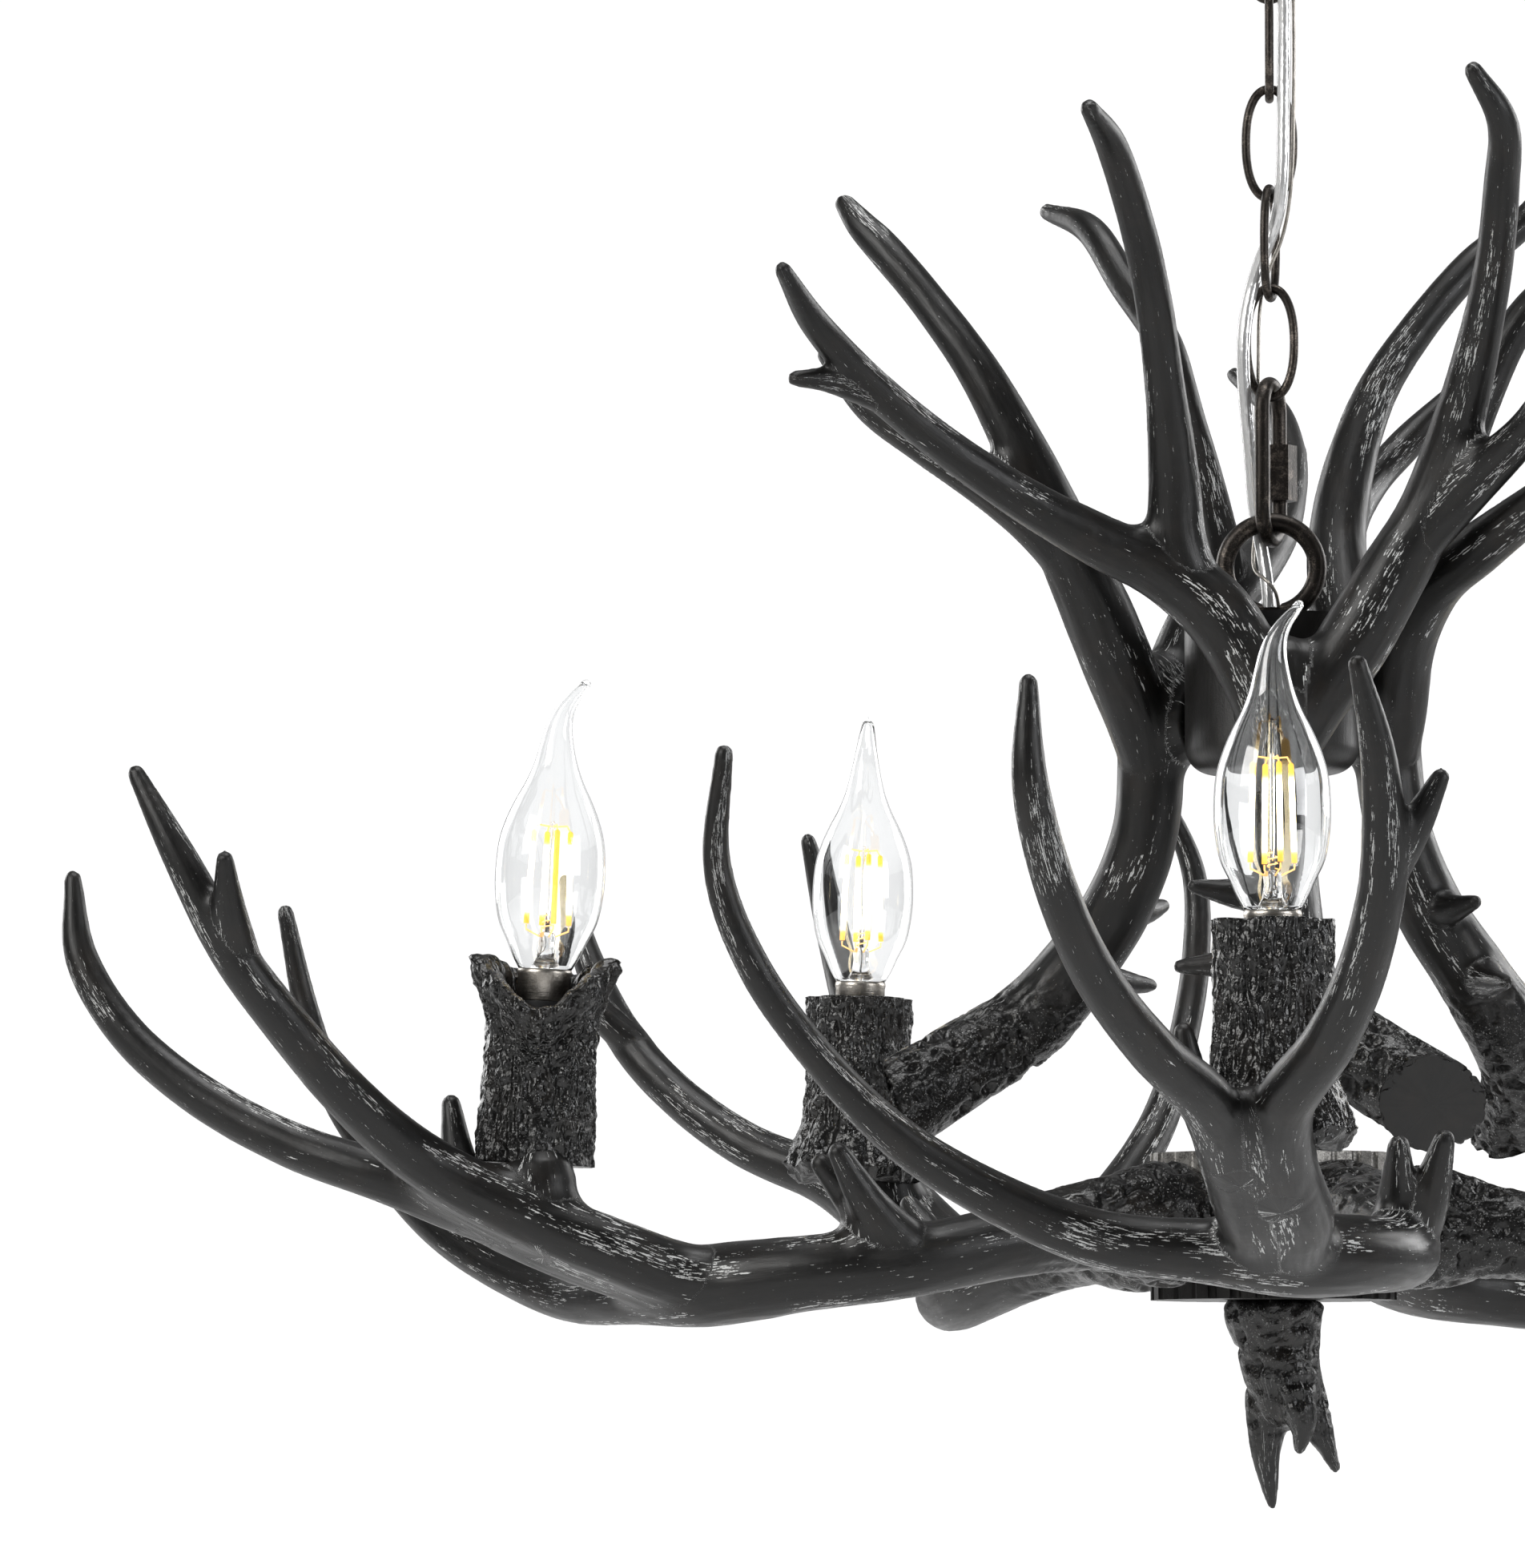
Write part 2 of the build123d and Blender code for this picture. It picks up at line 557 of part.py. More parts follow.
# ---------------------------------------------------------------- lower hub
screw_seat_lower = lower_hub_bore + spot_face
with BuildPart() as lower_hub:
    with BuildSketch(Plane.XY.offset(lower_floor)):
        Circle(lower_hub_radius)
        with PolarLocations(lower_hub_radius, flute_count):
            Circle(flute_radius, mode=Mode.SUBTRACT)
    extrude(amount=lower_hub_height)
    for azimuth in lower_azimuths:
        with BuildSketch(radial_plane(lower_flat, azimuth + seat_turn, lower_centre)):
            Rectangle(lower_hub_radius, lower_hub_height)
        extrude(amount=lower_hub_radius, mode=Mode.SUBTRACT)
    with BuildSketch(Plane.XY.offset(lower_floor)):
        Circle(lower_hub_bore)
    extrude(amount=lower_hub_height - lower_hub_roof, mode=Mode.SUBTRACT)
    with BuildSketch(Plane.XY.offset(lower_roof)):
        Circle(thread_radius + slip)
    extrude(amount=-lower_hub_roof, mode=Mode.SUBTRACT)
    for azimuth in lower_azimuths:
        with BuildSketch(radial_plane(0, azimuth + seat_turn, lower_centre)):
            Circle(head_radius + head_slip)
        extrude(amount=screw_seat_lower, mode=Mode.SUBTRACT)
        with BuildSketch(radial_plane(0, azimuth + seat_turn, lower_centre)):
            Circle(screw_radius + slip)
        extrude(amount=lower_hub_radius, mode=Mode.SUBTRACT)
finish(lower_hub, "lower_hub")

with BuildPart() as lower_hub_cover:
    with BuildSketch(Plane.XY.offset(lower_floor)):
        Circle(lower_hub_bore - slip)
        Circle(thread_radius + slip, mode=Mode.SUBTRACT)
    extrude(amount=cover_sheet)
finish(lower_hub_cover, "lower_hub_cover")

with BuildPart() as connector_block:
    with BuildSketch(Plane.XY.offset(lower_floor + cover_sheet)):
        with Locations(polar(connector_offset, connector_azimuth, 0)[:2]):
            Rectangle(connector_size[0], connector_size[1], rotation=connector_azimuth)
    extrude(amount=connector_size[2])
    fillet(connector_block.edges().filter_by(Axis.Z), connector_round)
finish(connector_block, "connector_block")

# ---------------------------------------------------------------- centre tube, nuts and screws
with BuildPart() as centre_tube:
    with BuildSketch(Plane.XY.offset(tube_bottom)):
        Circle(thread_radius)
        Circle(tube_bore, mode=Mode.SUBTRACT)
    extrude(amount=tube_top - tube_bottom)
finish(centre_tube, "centre_tube")

with BuildPart() as hub_nuts:
    nut_seats = (upper_roof - lid_sheet - nut_height, upper_floor + upper_hub_floor, upper_floor - nut_height,
                 lower_roof, lower_roof - lower_hub_roof - nut_height)
    for seat in nut_seats:
        with BuildSketch(Plane.XY.offset(seat)):
            RegularPolygon(nut_flats / 2, 6, major_radius=False)
            Circle(thread_radius + thread_slip, mode=Mode.SUBTRACT)
        extrude(amount=nut_height)
finish(hub_nuts, "hub_nuts")


def antler_screws(name, seat, flat, azimuths, height):
    """Socket-head screws from inside a hub out into its antlers."""
    with BuildPart() as screws:
        for azimuth in azimuths:
            with BuildSketch(radial_plane(seat - head_height, azimuth, height)):
                Circle(head_radius)
            extrude(amount=head_height)
            with BuildSketch(radial_plane(seat, azimuth, height)):
                Circle(screw_radius)
            extrude(amount=flat + screw_grip - seat)
    finish(screws, name)


antler_screws("upper_antler_screws", screw_seat_upper, upper_flat, upper_azimuths, pad_centre)
lower_seats = [azimuth + seat_turn for azimuth in lower_azimuths]
antler_screws("lower_antler_screws", screw_seat_lower, lower_flat, lower_seats, lower_centre)

# ---------------------------------------------------------------- candles' places
def candle_plane(index):
    """The seat of a cup: its middle, with its normal along the candle."""
    lean = math.radians(candle_leans[index])
    seat = lower_centre + candle_heights[index][0]
    return Plane(
        origin=polar(candle_radius, lower_azimuths[index], seat),
        x_dir=(math.cos(lean), 0, -math.sin(lean)),
        z_dir=(math.sin(lean), 0, math.cos(lean)),
    )


# ---------------------------------------------------------------- antlers
def leaned(casting, pivot, lean, azimuth, height):
    """A casting turned about the middle of its seat, then set round the axis."""
    about_pivot = Location(pivot) * Location((0, 0, 0), lean, Extrinsic.XYZ) * Location(pivot).inverse()
    return casting.moved(Location((0, 0, height), (0, 0, azimuth)) * about_pivot)


lower_casting = build_beams(lower_beams)
upper_casting = build_beams(upper_beams)

for index, azimuth in enumerate(lower_azimuths):
    seat_azimuth = azimuth + seat_turn
    with BuildPart() as lower_antler:
        add(leaned(lower_casting, lower_pivot, lower_leans[index], azimuth, lower_centre))
        for reach, radius, depth in burr_stations:
            with BuildSketch(radial_plane(lower_flat + reach, seat_azimuth, lower_centre)):
                Polygon(*ridged(radius, burr_pearls, depth))
        loft(ruled=True)
        split(bisect_by=radial_plane(lower_flat, seat_azimuth, lower_centre), keep=Keep.TOP)
        with BuildSketch(candle_plane(index)):
            Circle(stub_radius)
        extrude(amount=-(candle_heights[index][0] + stub_root))
        with BuildSketch(candle_plane(index)):
            Circle(stub_radius * 2)
        extrude(amount=stub_radius, mode=Mode.SUBTRACT)
        with BuildSketch(candle_plane(index)):
            Circle(thread_radius + slip)
        extrude(amount=-(holder_nipple + hole_spare), mode=Mode.SUBTRACT)
        with BuildSketch(radial_plane(lower_flat, seat_azimuth, lower_centre)):
            Circle(screw_radius + slip)
        extrude(amount=screw_grip + hole_spare, mode=Mode.SUBTRACT)
    finish(lower_antler, f"lower_antler_{index + 1}")

for index, azimuth in enumerate(upper_azimuths):
    with BuildPart() as upper_antler:
        add(leaned(upper_casting, upper_pivot, upper_leans[index], azimuth, upper_centre))
        with BuildSketch(radial_plane(upper_flat, azimuth, pad_centre)):
            RectangleRounded(pad_width - 2 * slip, pad_height - 2 * slip, pad_corner)
        extrude(amount=pad_length)
        with BuildSketch(radial_plane(upper_flat, azimuth, pad_centre)):
            Circle(screw_radius + slip)
        extrude(amount=screw_grip + hole_spare, mode=Mode.SUBTRACT)
    finish(upper_antler, f"upper_antler_{index + 1}")

# ---------------------------------------------------------------- finial
with BuildPart() as finial:
    sunk_beams = {}
    for beam, stations in finial_beams.items():
        sunk_beams[beam] = [(x, y, z + lower_floor, radius) for x, y, z, radius in stations]
    add(build_beams(sunk_beams))
    with BuildSketch(Plane.XY.offset(lower_floor)):
        Circle(thread_radius + thread_slip)
    extrude(amount=-(tube_end + hole_spare), mode=Mode.SUBTRACT)
finish(finial, "finial")

# ---------------------------------------------------------------- candles
for index in range(len(lower_azimuths)):
    seat = candle_plane(index)
    bottom, top, glass_foot = candle_heights[index]
    cup_height = top - bottom
    glass_rise = glass_foot - bottom
    holder_rise = glass_rise - collar_height - turn_gap
    glass_seat = seat.offset(glass_rise)

    with BuildPart() as candle_cup:
        for share, radius, depth in crown_up_stations if crown_up[index] else crown_down_stations:
            with BuildSketch(seat.offset(share * cup_height)):
                Polygon(*ridged(radius, cup_ridges, depth))
        loft(ruled=True)
        with BuildSketch(seat.offset(cup_floor)):
            Circle(cup_bore)
        extrude(amount=cup_height, mode=Mode.SUBTRACT)
        with BuildSketch(seat):
            Circle(thread_radius + slip)
        extrude(amount=cup_floor, mode=Mode.SUBTRACT)
        if crown_up[index]:
            with BuildSketch(Plane(origin=seat.offset(cup_height).origin, z_dir=(0, -1, 0))):
                Circle(scallop_depth)
            extrude(amount=scallop_reach, mode=Mode.SUBTRACT)
    finish(candle_cup, f"candle_cup_{index + 1}")

    with BuildPart() as lampholder:
        with BuildSketch(seat.offset(cup_floor)):
            Circle(holder_radius)
        extrude(amount=holder_rise - cup_floor)
        with BuildSketch(seat.offset(holder_rise)):
            Circle(cap_radius + thread_slip)
        extrude(amount=-(cap_length + contact_height + turn_gap), mode=Mode.SUBTRACT)
        with BuildSketch(seat.offset(cup_floor)):
            Circle(thread_radius)
        extrude(amount=-(cup_floor + holder_nipple))
    finish(lampholder, f"lampholder_{index + 1}")

    with BuildPart() as bulb_cap:
        with BuildSketch(glass_seat):
            Circle(collar_radius)
        extrude(amount=-collar_height)
        with BuildSketch(glass_seat.offset(-collar_height)):
            Circle(cap_radius)
        extrude(amount=-cap_length)
        with BuildSketch(glass_seat.offset(-collar_height - cap_length)):
            Circle(contact_radius)
        extrude(amount=-contact_height)
    finish(bulb_cap, f"bulb_cap_{index + 1}")

    bend_angle = math.radians(bulb_turns[index])
    with BuildPart() as bulb_glass:
        for height, radius, bend in bulb_stations:
            with BuildSketch(glass_seat.offset(height)):
                with Locations((bend * math.cos(bend_angle), bend * math.sin(bend_angle))):
                    Circle(radius)
        loft()
        for height, radius, bend in bulb_stations[:-1]:
            with BuildSketch(glass_seat.offset(height)):
                with Locations((bend * math.cos(bend_angle), bend * math.sin(bend_angle))):
                    Circle(radius - glass_wall)
        loft(mode=Mode.SUBTRACT)
    finish(bulb_glass, f"bulb_glass_{index + 1}")

    with BuildPart() as bulb_filaments:
        with BuildSketch(glass_seat):
            Circle(stem_radius)
        extrude(amount=stem_height, taper=stem_taper)
        with BuildSketch(glass_seat.offset(stem_height)):
            Circle(support_radius)
        extrude(amount=support_height - stem_height)
        for height in (filament_low, filament_high):
            with BuildSketch(glass_seat.offset(height)):
                for turn in range(filament_count // 2):
                    Rectangle(2 * support_spread, 2 * support_radius, rotation=turn * 360 / filament_count)
            extrude(amount=2 * support_radius)
        with BuildSketch(glass_seat.offset(filament_low)):
            with PolarLocations(support_spread - filament_radius, filament_count):
                Circle(filament_radius)
        extrude(amount=filament_high - filament_low)
    finish(bulb_filaments, f"bulb_filaments_{index + 1}")

# ---------------------------------------------------------------- flex and earth wire
# routes chosen by hand: right, towards the back, up from the lower hub's middle
cord_points = [
    (6.09, -15.87, 500), (6.09, -15.87, 484), (5.7, -14.2, 462), (5.2, -10.5, 436), (5.0, -7, 410),
    (4.9, -5.2, 386), (4.6, -4.8, 362), (4.3, -4.6, 342), (2.8, -2.6, 330), (-0.3, 0.2, 321.5),
    (-4.0, -1.6, 312.5), (-7.0, -4.3, 302), (-8.8, -4.7, 290), (-8.9, -4.0, 277), (-7.9, -2.4, 265),
    (-6.6, 0.2, 252), (-5.9, 3.6, 240), (-4.7, 6.2, 230), (-3.0, 5.0, 220.5), (-1.6, 2.0, 212),
    (-0.8, 0, 203), (-0.8, 0, 192),
]
earth_points = [
    (2.49, -13.67, 500), (2.49, -13.67, 484), (2.0, -11.4, 462), (4.6, -6.2, 436), (7.9, -4.6, 410),
    (8.1, -4.0, 386), (7.9, -4.0, 362), (7.3, -3.4, 342), (5.9, -1.2, 330), (3.6, 0.6, 321),
    (0.6, 1.2, 314.5), (-2.4, 3.2, 307), (-3.8, 2.6, 297), (-3.9, 2.2, 285), (-4.2, 3.4, 272),
    (-4.4, 5.2, 258), (-4.5, 7.6, 244), (-4.5, 9.8, 232), (-6.0, 8.2, 220), (-5.7, 2.6, 213.5),
    (-1.6, -3.2, 210), (1.5, -2.8, 206.5), (2.45, -0.5, 201.5), (2.45, 0.1, 192),
]
cord_tube("power_cord", [(x, y, z + lower_centre) for x, y, z in cord_points], cord_radius)
cord_tube("earth_wire", [(x, y, z + lower_centre) for x, y, z in earth_points], earth_radius)
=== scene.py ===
import math

import bpy
import numpy as np
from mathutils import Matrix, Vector


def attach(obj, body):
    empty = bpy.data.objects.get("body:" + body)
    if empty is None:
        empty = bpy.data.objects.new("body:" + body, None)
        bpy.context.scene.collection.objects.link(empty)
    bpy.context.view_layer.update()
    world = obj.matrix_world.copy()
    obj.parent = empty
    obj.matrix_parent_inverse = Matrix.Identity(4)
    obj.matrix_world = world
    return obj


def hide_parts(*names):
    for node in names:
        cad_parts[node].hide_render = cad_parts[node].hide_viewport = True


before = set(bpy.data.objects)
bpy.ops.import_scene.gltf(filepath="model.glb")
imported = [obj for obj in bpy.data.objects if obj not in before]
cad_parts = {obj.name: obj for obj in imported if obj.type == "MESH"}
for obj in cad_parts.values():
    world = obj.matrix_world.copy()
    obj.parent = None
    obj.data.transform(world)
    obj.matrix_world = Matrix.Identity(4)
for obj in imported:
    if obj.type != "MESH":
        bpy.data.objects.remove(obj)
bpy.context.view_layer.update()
print("frame loaded")

# places in millimetres and degrees, in the frame of the solids, whose origin is on the ceiling
placeValues = {
    "lowerCentre": -523.7,  # height of the middle of the lower hub
    "upperCentre": -351.2,
    "candleRadius": 246.0,
    "seatTurn": 25.5,
    "lowerFlat": 38.3,
    "lowerAzimuths": (-90.0, 198.0, 126.0, 54.0, -18.0),
    "upperAzimuths": (-90.0, 150.0, 30.0),
    "lowerPivot": (42.0, 20.0, 0.0),
    "upperPivot": (30.0, 0.0, -22.5),
    "lowerLeans": ((3.0, -1.7, 0.5), (8.4, 0.4, 4.0), (-11.8, 0.7, -4.7), (2.0, 0.5, 1.0), (-3.0, 0.5, 0.0)),
    "upperLeans": ((-0.2, 0.0, 5.6), (-1.7, -0.6, -3.4), (1.9, 0.1, -2.4)),
}

# camera

cameraValues = {"location": (0.0, -2.98811, -0.600), "pitch": 4.2189, "yaw": 3.1756, "lens": 217.43}
cameraData = bpy.data.cameras.new("camera")
cameraData.sensor_fit = "HORIZONTAL"
cameraData.sensor_width = 36
cameraData.lens = cameraValues["lens"]
camera = bpy.data.objects.new("camera", cameraData)
camera.location = cameraValues["location"]
camera.rotation_euler = (math.radians(90 + cameraValues["pitch"]), 0, math.radians(cameraValues["yaw"]))
bpy.context.scene.collection.objects.link(camera)
bpy.context.scene.camera = camera
bpy.context.scene.view_settings.view_transform = "Standard"

# materials


def newTree(name):
    material = bpy.data.materials.new(name)
    material.use_nodes = True
    tree = material.node_tree
    return material, tree, tree.nodes["Principled BSDF"]


def addNode(tree, kind, settings=None, **inputs):
    node = tree.nodes.new(kind)
    for key, value in (settings or {}).items():
        setattr(node, key, value)
    for key, value in inputs.items():
        socket = node.inputs[int(key[1:])] if key[0] == "n" and key[1:].isdigit() else node.inputs[key]
        if isinstance(value, bpy.types.NodeSocket):
            tree.links.new(value, socket)
        else:
            socket.default_value = value
    return node


def calc(tree, operation, first, second=0.0, clamp=False):
    settings = {"operation": operation, "use_clamp": clamp}
    return addNode(tree, "ShaderNodeMath", settings, n0=first, n1=second).outputs[0]


def heightOf(tree, place):
    return addNode(tree, "ShaderNodeSeparateXYZ", Vector=place).outputs[2]


def spread(tree, value, low, high, toLow=0.0, toHigh=1.0):
    node = addNode(tree, "ShaderNodeMapRange", {"interpolation_type": "SMOOTHSTEP"}, Value=value)
    node.inputs["From Min"].default_value = low
    node.inputs["From Max"].default_value = high
    node.inputs["To Min"].default_value = toLow
    node.inputs["To Max"].default_value = toHigh
    return node.outputs["Result"]


def mixColor(tree, share, first, second):
    node = addNode(tree, "ShaderNodeMix", {"data_type": "RGBA"}, n0=share)
    for socket, value in ((node.inputs[6], first), (node.inputs[7], second)):
        if isinstance(value, bpy.types.NodeSocket):
            tree.links.new(value, socket)
        else:
            socket.default_value = (*value, 1)
    return node.outputs[2]


def noiseOf(tree, vector, scale, detail=3.0, rough=0.55, stretch=None):
    if stretch:
        vector = addNode(tree, "ShaderNodeMapping", Vector=vector, Scale=stretch).outputs[0]
    node = addNode(tree, "ShaderNodeTexNoise", Vector=vector, Scale=scale, Detail=detail, Roughness=rough)
    return node.outputs[0]


def attributeOf(tree, name, output="Fac"):
    return addNode(tree, "ShaderNodeAttribute", {"attribute_name": name}).outputs[output]


def bumpOn(tree, shader, height, strength, distance):
    bump = addNode(tree, "ShaderNodeBump", Strength=strength, Distance=distance, Height=height)
    tree.links.new(bump.outputs[0], shader.inputs["Normal"])


resinValues = {
    "dark": (0.0050, 0.0048, 0.0046),
    "brown": (0.0100, 0.0083, 0.0070),
    # one colour for the real silver rub and for the painted highlight on the bark's peaks
    "silverAndHighlight": (0.50, 0.505, 0.50),
    "roughness": 0.35,
    "specular": 0.33,
    "silverAndHighlightScale": 1.0,
    "streakFrom": 0.660,
    "streakWidth": 0.04,
    "bump": 0.4,
    "bumpDepth": 0.0006,
    "grain": (0.16, 0.4, 0.05, 2.6),  # shares of fine lines, wide lines, pores and beads in the bump
    "lined": (0.8, 0.2, 0.125),  # shares of fine lines, flecks and wear in the silver streaks
    # strength of the silver on the bark's peaks, which is partly a painted highlight
    "peakSilverAndHighlightShare": 0.6,
    # between which values each pattern fades in
    "crestFade": (0.49, 0.60),
    "patchFade": (0.36, 0.54),
    "crotchFade": (0.06, 0.38),
    "peakSilverAndHighlightFade": (0.86, 1.0),
    "fleckFade": (0.60, 0.68),
    "sawnFade": (0.02, 0.10),
    "toneFade": (0.45, 0.75),
    # scale per metre, detail and roughness of each noise, and how it is drawn out along a tine
    "fine": (2600, 3, 0.6, (1, 1, 0.085)),
    "wide": (620, 3, 0.55, (1, 1, 0.16)),
    "crest": (150, 2, 0.5, (1, 1, 0.12)),
    "patch": (24, 2, 0.5),
    "fleck": (1500, 3, 0.65),
    "pores": (2600, 2, 0.5),
    "tone": (60, 4, 0.6),
    "beads": (430, 2, 0.5),
}


def resinMaterial(name, values):
    material, tree, shader = newTree(name)
    place = addNode(tree, "ShaderNodeTexCoord").outputs["Object"]
    flow = attributeOf(tree, "flow", "Vector")
    ridge = attributeOf(tree, "ridge")
    rough = attributeOf(tree, "rough")
    crotch = attributeOf(tree, "crotch")
    fine, wide, crest = (noiseOf(tree, flow, *values[key]) for key in ("fine", "wide", "crest"))
    patch, fleck, pores, tone, beads = (
        noiseOf(tree, place, *values[key]) for key in ("patch", "fleck", "pores", "tone", "beads")
    )
    smooth = calc(tree, "SUBTRACT", 1.0, rough)
    # silver streaks in bands along the smooth parts and in the crotches
    band = spread(tree, crest, *values["crestFade"])
    band = calc(tree, "MULTIPLY", band, spread(tree, patch, *values["patchFade"]))
    wear = calc(tree, "MAXIMUM", band, spread(tree, crotch, *values["crotchFade"]))
    lineShare, fleckShare, wearShare = values["lined"]
    lined, flecked = calc(tree, "MULTIPLY", fine, lineShare), calc(tree, "MULTIPLY", fleck, fleckShare)
    lined = calc(tree, "ADD", calc(tree, "ADD", lined, flecked), calc(tree, "MULTIPLY", wear, wearShare))
    streak = spread(tree, lined, values["streakFrom"], values["streakFrom"] + values["streakWidth"])
    # silver flecks on the peaks of the bark: partly the real silver rub, partly a painted highlight where
    # light catches the ridges
    peakSilverAndHighlight = calc(tree, "MULTIPLY", spread(tree, ridge, *values["peakSilverAndHighlightFade"]), rough)
    peakSilverAndHighlight = calc(tree, "MULTIPLY", peakSilverAndHighlight, spread(tree, fleck, *values["fleckFade"]))
    peakSilverAndHighlight = calc(tree, "MULTIPLY", peakSilverAndHighlight, values["peakSilverAndHighlightShare"])
    # the real silver streaks and the painted highlight on the peaks are joined here
    silverAndHighlight = calc(tree, "MAXIMUM", calc(tree, "MULTIPLY", streak, smooth), peakSilverAndHighlight)
    # sawn faces have a ridge of nothing and stay plain
    silverAndHighlight = calc(tree, "MULTIPLY", silverAndHighlight, spread(tree, ridge, *values["sawnFade"]))
    silverAndHighlight = calc(tree, "MULTIPLY", silverAndHighlight, values["silverAndHighlightScale"], True)
    base = mixColor(tree, spread(tree, tone, *values["toneFade"]), values["dark"], values["brown"])
    colour = mixColor(tree, silverAndHighlight, base, values["silverAndHighlight"])
    tree.links.new(colour, shader.inputs["Base Color"])
    gloss = calc(tree, "ADD", spread(tree, wide, 0.3, 0.7, 0.0, 0.10), calc(tree, "MULTIPLY", silverAndHighlight, 0.15))
    gloss = calc(tree, "SUBTRACT", gloss, calc(tree, "MULTIPLY", rough, 0.08))
    tree.links.new(calc(tree, "ADD", gloss, values["roughness"]), shader.inputs["Roughness"])
    beads = calc(tree, "ADD", beads, calc(tree, "MULTIPLY", fleck, 0.05))
    fineShare, wideShare, poreShare, beadShare = values["grain"]
    fine, wide = calc(tree, "MULTIPLY", fine, fineShare), calc(tree, "MULTIPLY", wide, wideShare)
    height = calc(tree, "ADD", calc(tree, "ADD", fine, wide), calc(tree, "MULTIPLY", pores, poreShare))
    beads = calc(tree, "MULTIPLY", beads, calc(tree, "MULTIPLY", rough, beadShare))
    height = calc(tree, "ADD", height, beads)
    bumpOn(tree, shader, height, values["bump"], values["bumpDepth"])
    shader.inputs["Specular IOR Level"].default_value = values["specular"]
    return material


# base and worn colour, metallic, roughness, and how high the tone has to be before the finish is worn
metalValues = {
    "chain": ((0.030, 0.026, 0.023), (0.16, 0.135, 0.115), 0.85, 0.36, 0.58),
    "hub": ((0.010, 0.0095, 0.009), (0.04, 0.038, 0.036), 0.2, 0.36, 0.68),
    "fluted": ((0.10, 0.095, 0.09), (0.34, 0.33, 0.31), 0.7, 0.40, 0.48),
    "steel": ((0.50, 0.50, 0.51), (0.62, 0.62, 0.63), 1.0, 0.32, 0.5),
    "cap": ((0.40, 0.37, 0.33), (0.50, 0.47, 0.43), 1.0, 0.30, 0.5),
    "earthCopper": ((0.30, 0.28, 0.25), (0.5, 0.47, 0.43), 1.0, 0.35, 0.5),
}
# the lower hub's rim, painted bright as a highlight where light catches its top edge: its height and the fade
# under it in metres, and the colour below, painted dark as shade
flutedLitRim = {"height": -0.508, "fade": 0.006, "below": (0.009, 0.0085, 0.008)}


def metalMaterial(name):
    base, wornBase, metallic, roughness, wear = metalValues[name]
    material, tree, shader = newTree(name)
    place = addNode(tree, "ShaderNodeTexCoord").outputs["Object"]
    tone = noiseOf(tree, place, 160, 5, 0.65)
    grain = noiseOf(tree, place, 1800, 3, 0.6)
    brushed = noiseOf(tree, place, 900, 3, 0.5, (1, 1, 0.12) if name != "cap" else (0.1, 0.1, 3))
    mottle = calc(tree, "ADD", calc(tree, "MULTIPLY", tone, 0.6), calc(tree, "MULTIPLY", grain, 0.4))
    worn = spread(tree, mottle, wear - 0.1, wear + 0.1)
    colour = mixColor(tree, worn, base, wornBase)
    if name == "fluted":  # bright only at its top edge
        # painted highlight on the top edge, painted shade on the sides below it
        litEdgeHeight = flutedLitRim["height"]
        upper = spread(tree, heightOf(tree, place), litEdgeHeight - flutedLitRim["fade"], litEdgeHeight)
        colour = mixColor(tree, upper, flutedLitRim["below"], colour)
    tree.links.new(colour, shader.inputs["Base Color"])
    shader.inputs["Metallic"].default_value = metallic
    rough = calc(tree, "ADD", calc(tree, "MULTIPLY", brushed, 0.22), roughness - 0.08)
    tree.links.new(rough, shader.inputs["Roughness"])
    bumpOn(tree, shader, calc(tree, "ADD", grain, brushed), 0.25, 0.0003)
    return material


def plasticMaterial(name, colour, roughness):
    material, tree, shader = newTree(name)
    place = addNode(tree, "ShaderNodeTexCoord").outputs["Object"]
    grain = noiseOf(tree, place, 1400, 3, 0.55)
    tone = noiseOf(tree, place, 90, 3, 0.5)
    lighter = tuple(min(1.0, c * 1.25 + 0.004) for c in colour)
    tree.links.new(mixColor(tree, tone, colour, lighter), shader.inputs["Base Color"])
    tree.links.new(spread(tree, grain, 0.3, 0.7, roughness, roughness + 0.12), shader.inputs["Roughness"])
    bumpOn(tree, shader, grain, 0.2, 0.0002)
    return material


glassValues = {
    "tint": (0.985, 0.99, 0.992),
    "ior": 1.45,
    "smudge": 0.012,
    "absorption": 62.0,
    "inside": (0.0, 0.01, 0.02),
}


def glassMaterial(name, values):
    material, tree, shader = newTree(name)
    place = addNode(tree, "ShaderNodeTexCoord").outputs["Object"]
    shader.inputs["Base Color"].default_value = (*values["tint"], 1)
    shader.inputs["Transmission Weight"].default_value = 1.0
    shader.inputs["IOR"].default_value = values["ior"]
    smudge = noiseOf(tree, place, 120, 3, 0.5)
    tree.links.new(spread(tree, smudge, 0.5, 0.8, 0.0, values["smudge"]), shader.inputs["Roughness"])
    bumpOn(tree, shader, noiseOf(tree, place, 70, 2, 0.4), 0.06, 0.0006)
    colour = (*values["inside"], 1)
    inside = addNode(tree, "ShaderNodeVolumeAbsorption", Density=values["absorption"], Color=colour)
    tree.links.new(inside.outputs[0], tree.nodes["Material Output"].inputs["Volume"])
    return material


# light in the middle and at the ends, with its strength there
glowValues = {"middle": (1.0, 0.86, 0.55), "ends": (1.0, 0.53, 0.03), "strength": 9.0, "endStrength": 1.05}
wireValues = {"middle": (1.0, 0.45, 0.06), "ends": (1.0, 0.5, 0.1), "strength": 1.2, "endStrength": 1.0}


